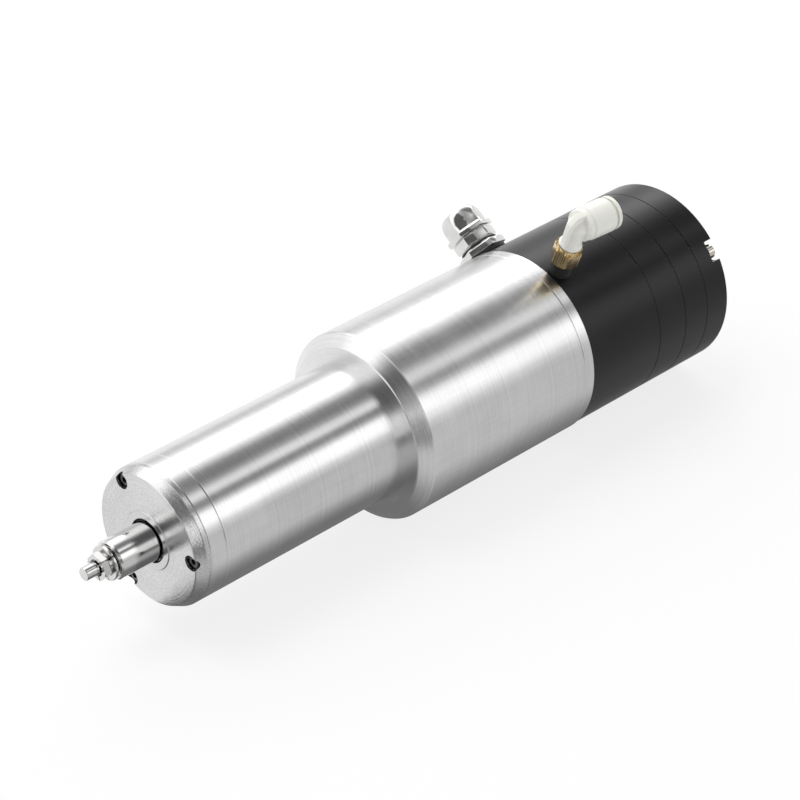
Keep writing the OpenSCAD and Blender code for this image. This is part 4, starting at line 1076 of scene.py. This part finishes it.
# Brightness of the tent's cloth by the angle from straight up towards the camera's
# side, in degrees: beside the rear, beside the nose, in front of it and farthest out
REAR_CLOTH = [
    (-100, 1.00), (-86, 0.92), (-80, 0.66), (-73, 0.74), (-64, 1.00), (-57, 1.25),
    (-51, 2.90), (-35, 2.90), (-28, 1.45), (-23, 1.25), (-17, 0.92), (-8, 0.30),
    (6, 0.22), (15, 0.42), (21, 0.98), (29, 0.98), (34, 0.24), (41, 0.26), (46, 0.60),
    (52, 1.40), (68, 1.35), (77, 0.78), (90, 0.52), (100, 0.46),
]
MIDDLE_CLOTH = [
    (-100, 1.25), (-88, 1.15), (-77, 1.12), (-64, 1.25), (-50, 1.60), (-14, 1.55),
    (-5, 1.30), (6, 0.70), (18, 0.38), (36, 0.40), (52, 0.36), (60, 0.40),
    (66, 0.45), (73, 0.16), (84, 0.08), (100, 0.16),
]
SIDE_CLOTH = [
    (-100, 1.00), (-80, 0.95), (-66, 0.98), (-54, 1.45), (-18, 1.45), (-8, 0.62),
    (4, 0.16), (30, 0.11), (46, 0.20), (54, 0.95), (60, 1.45), (84, 1.45), (92, 0.60),
    (100, 0.30),
]
FRONT_CLOTH = [
    (-100, 1.00), (-80, 0.95), (-68, 0.86), (-58, 1.10), (-50, 1.45), (-29, 1.45),
    (-21, 0.95), (-12, 0.34), (-2, 0.12), (14, 0.11), (26, 0.14), (36, 0.28),
    (50, 0.38), (60, 0.55), (66, 0.95), (72, 0.55), (80, 0.24), (92, 0.16), (100, 0.16),
]
# Where along the spindle each cloth is reached, as a share of the tent's radius
CLOTHS = [(-1.0, FRONT_CLOTH), (-0.72, SIDE_CLOTH), (-0.385, SIDE_CLOTH),
          (-0.31, MIDDLE_CLOTH), (0.25, REAR_CLOTH)]
TENT_STEPS = 96
# How much of the floor's white is its own light where it is seen
FLOOR_GLOW = 0.80
# How far the grey card lies above the floor and reaches behind the spindle's axis
CARD_LIFT, CARD_BACK = 0.0005, 0.01
# The card's glowing grey, painted shade of the floor that only reflections see; what it loses
# under the spindle, where it paints the spindle's shadow, and far in front of the nose; and the
# places across (y) and along (x) the spindle between which that comes about
CARD_LEVEL, SHADOW_LOSS, FAR_LOSS = 0.62, 0.42, 0.58
SHADOW_Y, FAR_X, FAR_Y = (-0.080, -0.028), (-0.200, -0.050), (-0.240, -0.110)
LAMP_PLACE, LAMP_WIDTH, LAMP_POWER = (-0.5, 0.5, 1.9), 1.0, 13.0
FILL_COLOUR, FILL_STRENGTH = (0.9, 0.9, 0.9, 1.0), 0.4
WHITE = (1.0, 1.0, 1.0, 1.0)


def sheet(name, half, near, far, height):
    """A level sheet as wide as twice half, from near to far across the spindle."""
    mesh = bpy.data.meshes.new(name)
    corners = [(-half, near, height), (half, near, height), (half, far, height),
               (-half, far, height)]
    mesh.from_pydata(corners, [], [(0, 1, 2, 3)])
    return placed(name, mesh)


def seen_ray(tree):
    """1 for the rays that show the background: straight, mirrored or through glass."""
    kinds = ("Is Camera Ray", "Is Glossy Ray", "Is Transmission Ray")
    straight, mirrored, through = (
        tree.add("ShaderNodeLightPath", output=kind) for kind in kinds
    )
    return straight.least(mirrored).least(through)


def floor_material(colour):
    """Pale paper, nearly white where it is seen, that keeps the object's shadow."""
    material, tree = new_material("floor_paper")
    paper = tree.noise(object_place(tree), 60.0, detail=3.0)
    lit = tree.add(
        "ShaderNodeBsdfDiffuse", None, {"Color": tree.mix(paper, toned(colour, 0.98), colour)}
    )
    pale = tree.add("ShaderNodeMixShader", None, {0: FLOOR_GLOW, 1: lit, 2: tree.glow(WHITE)})
    to_output(tree, tree.add("ShaderNodeMixShader", None, {0: seen_ray(tree), 1: lit, 2: pale}))
    return material


def card_material():
    """Painted shade: a grey card that glows, darker under the object, where it paints the
    object's shadow, than in front of it, and darker far out in front of the nose."""
    material, tree = new_material("grey_card")
    x, y, _ = tree.split(object_place(tree))
    far = (1.0 - x.ramp(*FAR_X)) * (1.0 - y.ramp(*FAR_Y))
    # Painted shadow of the spindle under it, and painted shade far in front of the nose
    level = (CARD_LEVEL - y.ramp(*SHADOW_Y) * SHADOW_LOSS) * (1.0 - far * FAR_LOSS)
    to_output(tree, tree.glow(tree.combine(level, level, level)))
    return material


def cloth_colour(tree, degrees, profile, top):
    """A cloth's grey at an angle, where 1 is the brightest level of all cloths."""
    low, high = profile[0][0], profile[-1][0]
    stops = [((at - low) / (high - low), (level / top,) * 3) for at, level in profile]
    share = (degrees - low) / (high - low)
    return tree.add("ShaderNodeValToRGB", {"stops": stops}, (share,))


def tent_material(radius):
    """Soft boxes and the gaps between them, by the angle round the spindle."""
    material, tree = new_material("tent_cloth")
    x, y, z = tree.split(object_place(tree))
    degrees = tree.math("ARCTAN2", 0.0 - y, z) * (180.0 / math.pi)
    top = max(level for _, profile in CLOTHS for _, level in profile)
    cloth = cloth_colour(tree, degrees, CLOTHS[0][1], top)
    for (start, _), (end, profile) in zip(CLOTHS, CLOTHS[1:]):
        share = x.ramp(start * radius, end * radius)
        cloth = tree.mix(share, cloth, cloth_colour(tree, degrees, profile, top))
    to_output(tree, tree.glow(cloth, top))
    return material


def light_tent(radius, length):
    """Half a tube round the spindle's axis, which lights the object and isn't seen itself.
    Its length is the part in front, and the part behind is a third as long."""
    low, high = math.radians(REAR_CLOTH[0][0]), math.radians(REAR_CLOTH[-1][0])
    corners, faces = [], []
    for i in range(TENT_STEPS + 1):
        angle = low + (high - low) * i / TENT_STEPS
        y, z = -radius * math.sin(angle), radius * math.cos(angle)
        corners += [(-length, y, z), (length / 3, y, z)]
        if i:
            faces.append((2 * i - 2, 2 * i - 1, 2 * i + 1, 2 * i))
    mesh = bpy.data.meshes.new("light_tent")
    mesh.from_pydata(corners, [], faces)
    tent = placed("light_tent", mesh)
    coat(tent, tent_material(radius))
    tent.visible_camera = False
    tent.visible_shadow = False
    return tent


def grey_card(reach, half, height):
    """A glowing card of painted shade under and in front of the spindle that only reflections
    show.
    """
    card = sheet("grey_card", half, -reach, CARD_BACK, height)
    coat(card, card_material())
    card.visible_camera = False
    card.visible_shadow = False
    card.visible_diffuse = False
    return card


def top_lamp():
    """A large lamp that lights matt surfaces and leaves no reflection on metal."""
    light = bpy.data.lights.new("top_lamp", "AREA")
    light.size = LAMP_WIDTH
    light.energy = LAMP_POWER
    lamp = placed("top_lamp", light)
    lamp.location = LAMP_PLACE
    lamp.rotation_euler = Vector(LAMP_PLACE).to_track_quat("Z", "Y").to_euler()
    lamp.visible_glossy = False


def studio_world():
    """A soft grey fill, and white where the background is seen."""
    world = bpy.data.worlds.new("studio")
    world.use_nodes = True
    world.node_tree.nodes.clear()
    tree = Tree(world.node_tree)
    fill, white = (
        tree.add("ShaderNodeBackground", None, {"Color": colour, "Strength": strength})
        for colour, strength in ((FILL_COLOUR, FILL_STRENGTH), (WHITE, 1.0))
    )
    both = tree.add("ShaderNodeMixShader", None, {0: seen_ray(tree), 1: fill, 2: white})
    tree.add("ShaderNodeOutputWorld", None, {"Surface": both})
    return world


def photo_camera():
    """The camera that the photograph was taken with."""
    camera = bpy.data.cameras.new("camera")
    camera.sensor_fit = "HORIZONTAL"
    camera.sensor_width = CAMERA_SENSOR
    camera.lens = CAMERA_LENS
    camera.clip_start, camera.clip_end = CAMERA_CLIP
    eye = placed("camera", camera)
    right, up = Vector(CAMERA_RIGHT), Vector(CAMERA_UP)
    turn = Matrix((right, up, right.cross(up))).transposed().to_4x4()
    eye.matrix_world = Matrix.Translation(CAMERA_PLACE) @ turn
    return eye


class SPINDLE_OT_stage(bpy.types.Operator):
    """Sets up floor, light tent, a grey card of painted shade, lamp, background and camera"""

    bl_idname = "spindle.stage"
    bl_label = "Stage"

    def execute(self, context):
        scene = context.scene
        sizes, colours = scene.spindle_sizes, scene.spindle_colours
        half = sizes.floor_width / 2
        floor_z = CAD_BOX[0][2] - sizes.floor_drop
        floor = sheet("floor", half, -half, half, floor_z)
        coat(floor, floor_material(tuple(colours.floor)))
        light_tent(sizes.tent_radius, sizes.tent_length)
        card = grey_card(sizes.card_width, half, floor_z + CARD_LIFT)
        top_lamp()
        scene.world = studio_world()
        scene.view_settings.view_transform = "Standard"
        scene.camera = photo_camera()
        return {"FINISHED"}


class SPINDLE_PT_panel(bpy.types.Panel):
    bl_idname = "SPINDLE_PT_panel"
    bl_label = "Motor spindle"
    bl_space_type = "VIEW_3D"
    bl_region_type = "UI"
    bl_category = "Motor spindle"

    def draw(self, context):
        layout = self.layout
        for group in (context.scene.spindle_colours, context.scene.spindle_sizes):
            box = layout.box()
            for key in group.__annotations__:
                box.prop(group, key)
        for operator in STEPS:
            layout.operator(operator.bl_idname)


STEPS = [
    SPINDLE_OT_stage,
    SPINDLE_OT_bright_housings,
    SPINDLE_OT_shaft_line,
    SPINDLE_OT_black_housings,
    SPINDLE_OT_inner_works,
    SPINDLE_OT_springs,
    SPINDLE_OT_cable_gland,
    SPINDLE_OT_air_elbow,
]
CLASSES = [SpindleColours, SpindleSizes, *STEPS, SPINDLE_PT_panel]


def register():
    for entry in CLASSES:
        bpy.utils.register_class(entry)
    bpy.types.Scene.spindle_colours = bpy.props.PointerProperty(type=SpindleColours)
    bpy.types.Scene.spindle_sizes = bpy.props.PointerProperty(type=SpindleSizes)


def unregister():
    del bpy.types.Scene.spindle_colours
    del bpy.types.Scene.spindle_sizes
    for entry in reversed(CLASSES):
        bpy.utils.unregister_class(entry)


def main():
    register()
    for step in STEPS:
        group, name = step.bl_idname.split(".")
        result = getattr(getattr(bpy.ops, group), name)()
        if result != {"FINISHED"}:
            raise RuntimeError(step.bl_label + " didn't finish")


if __name__ == "__main__":
    main()
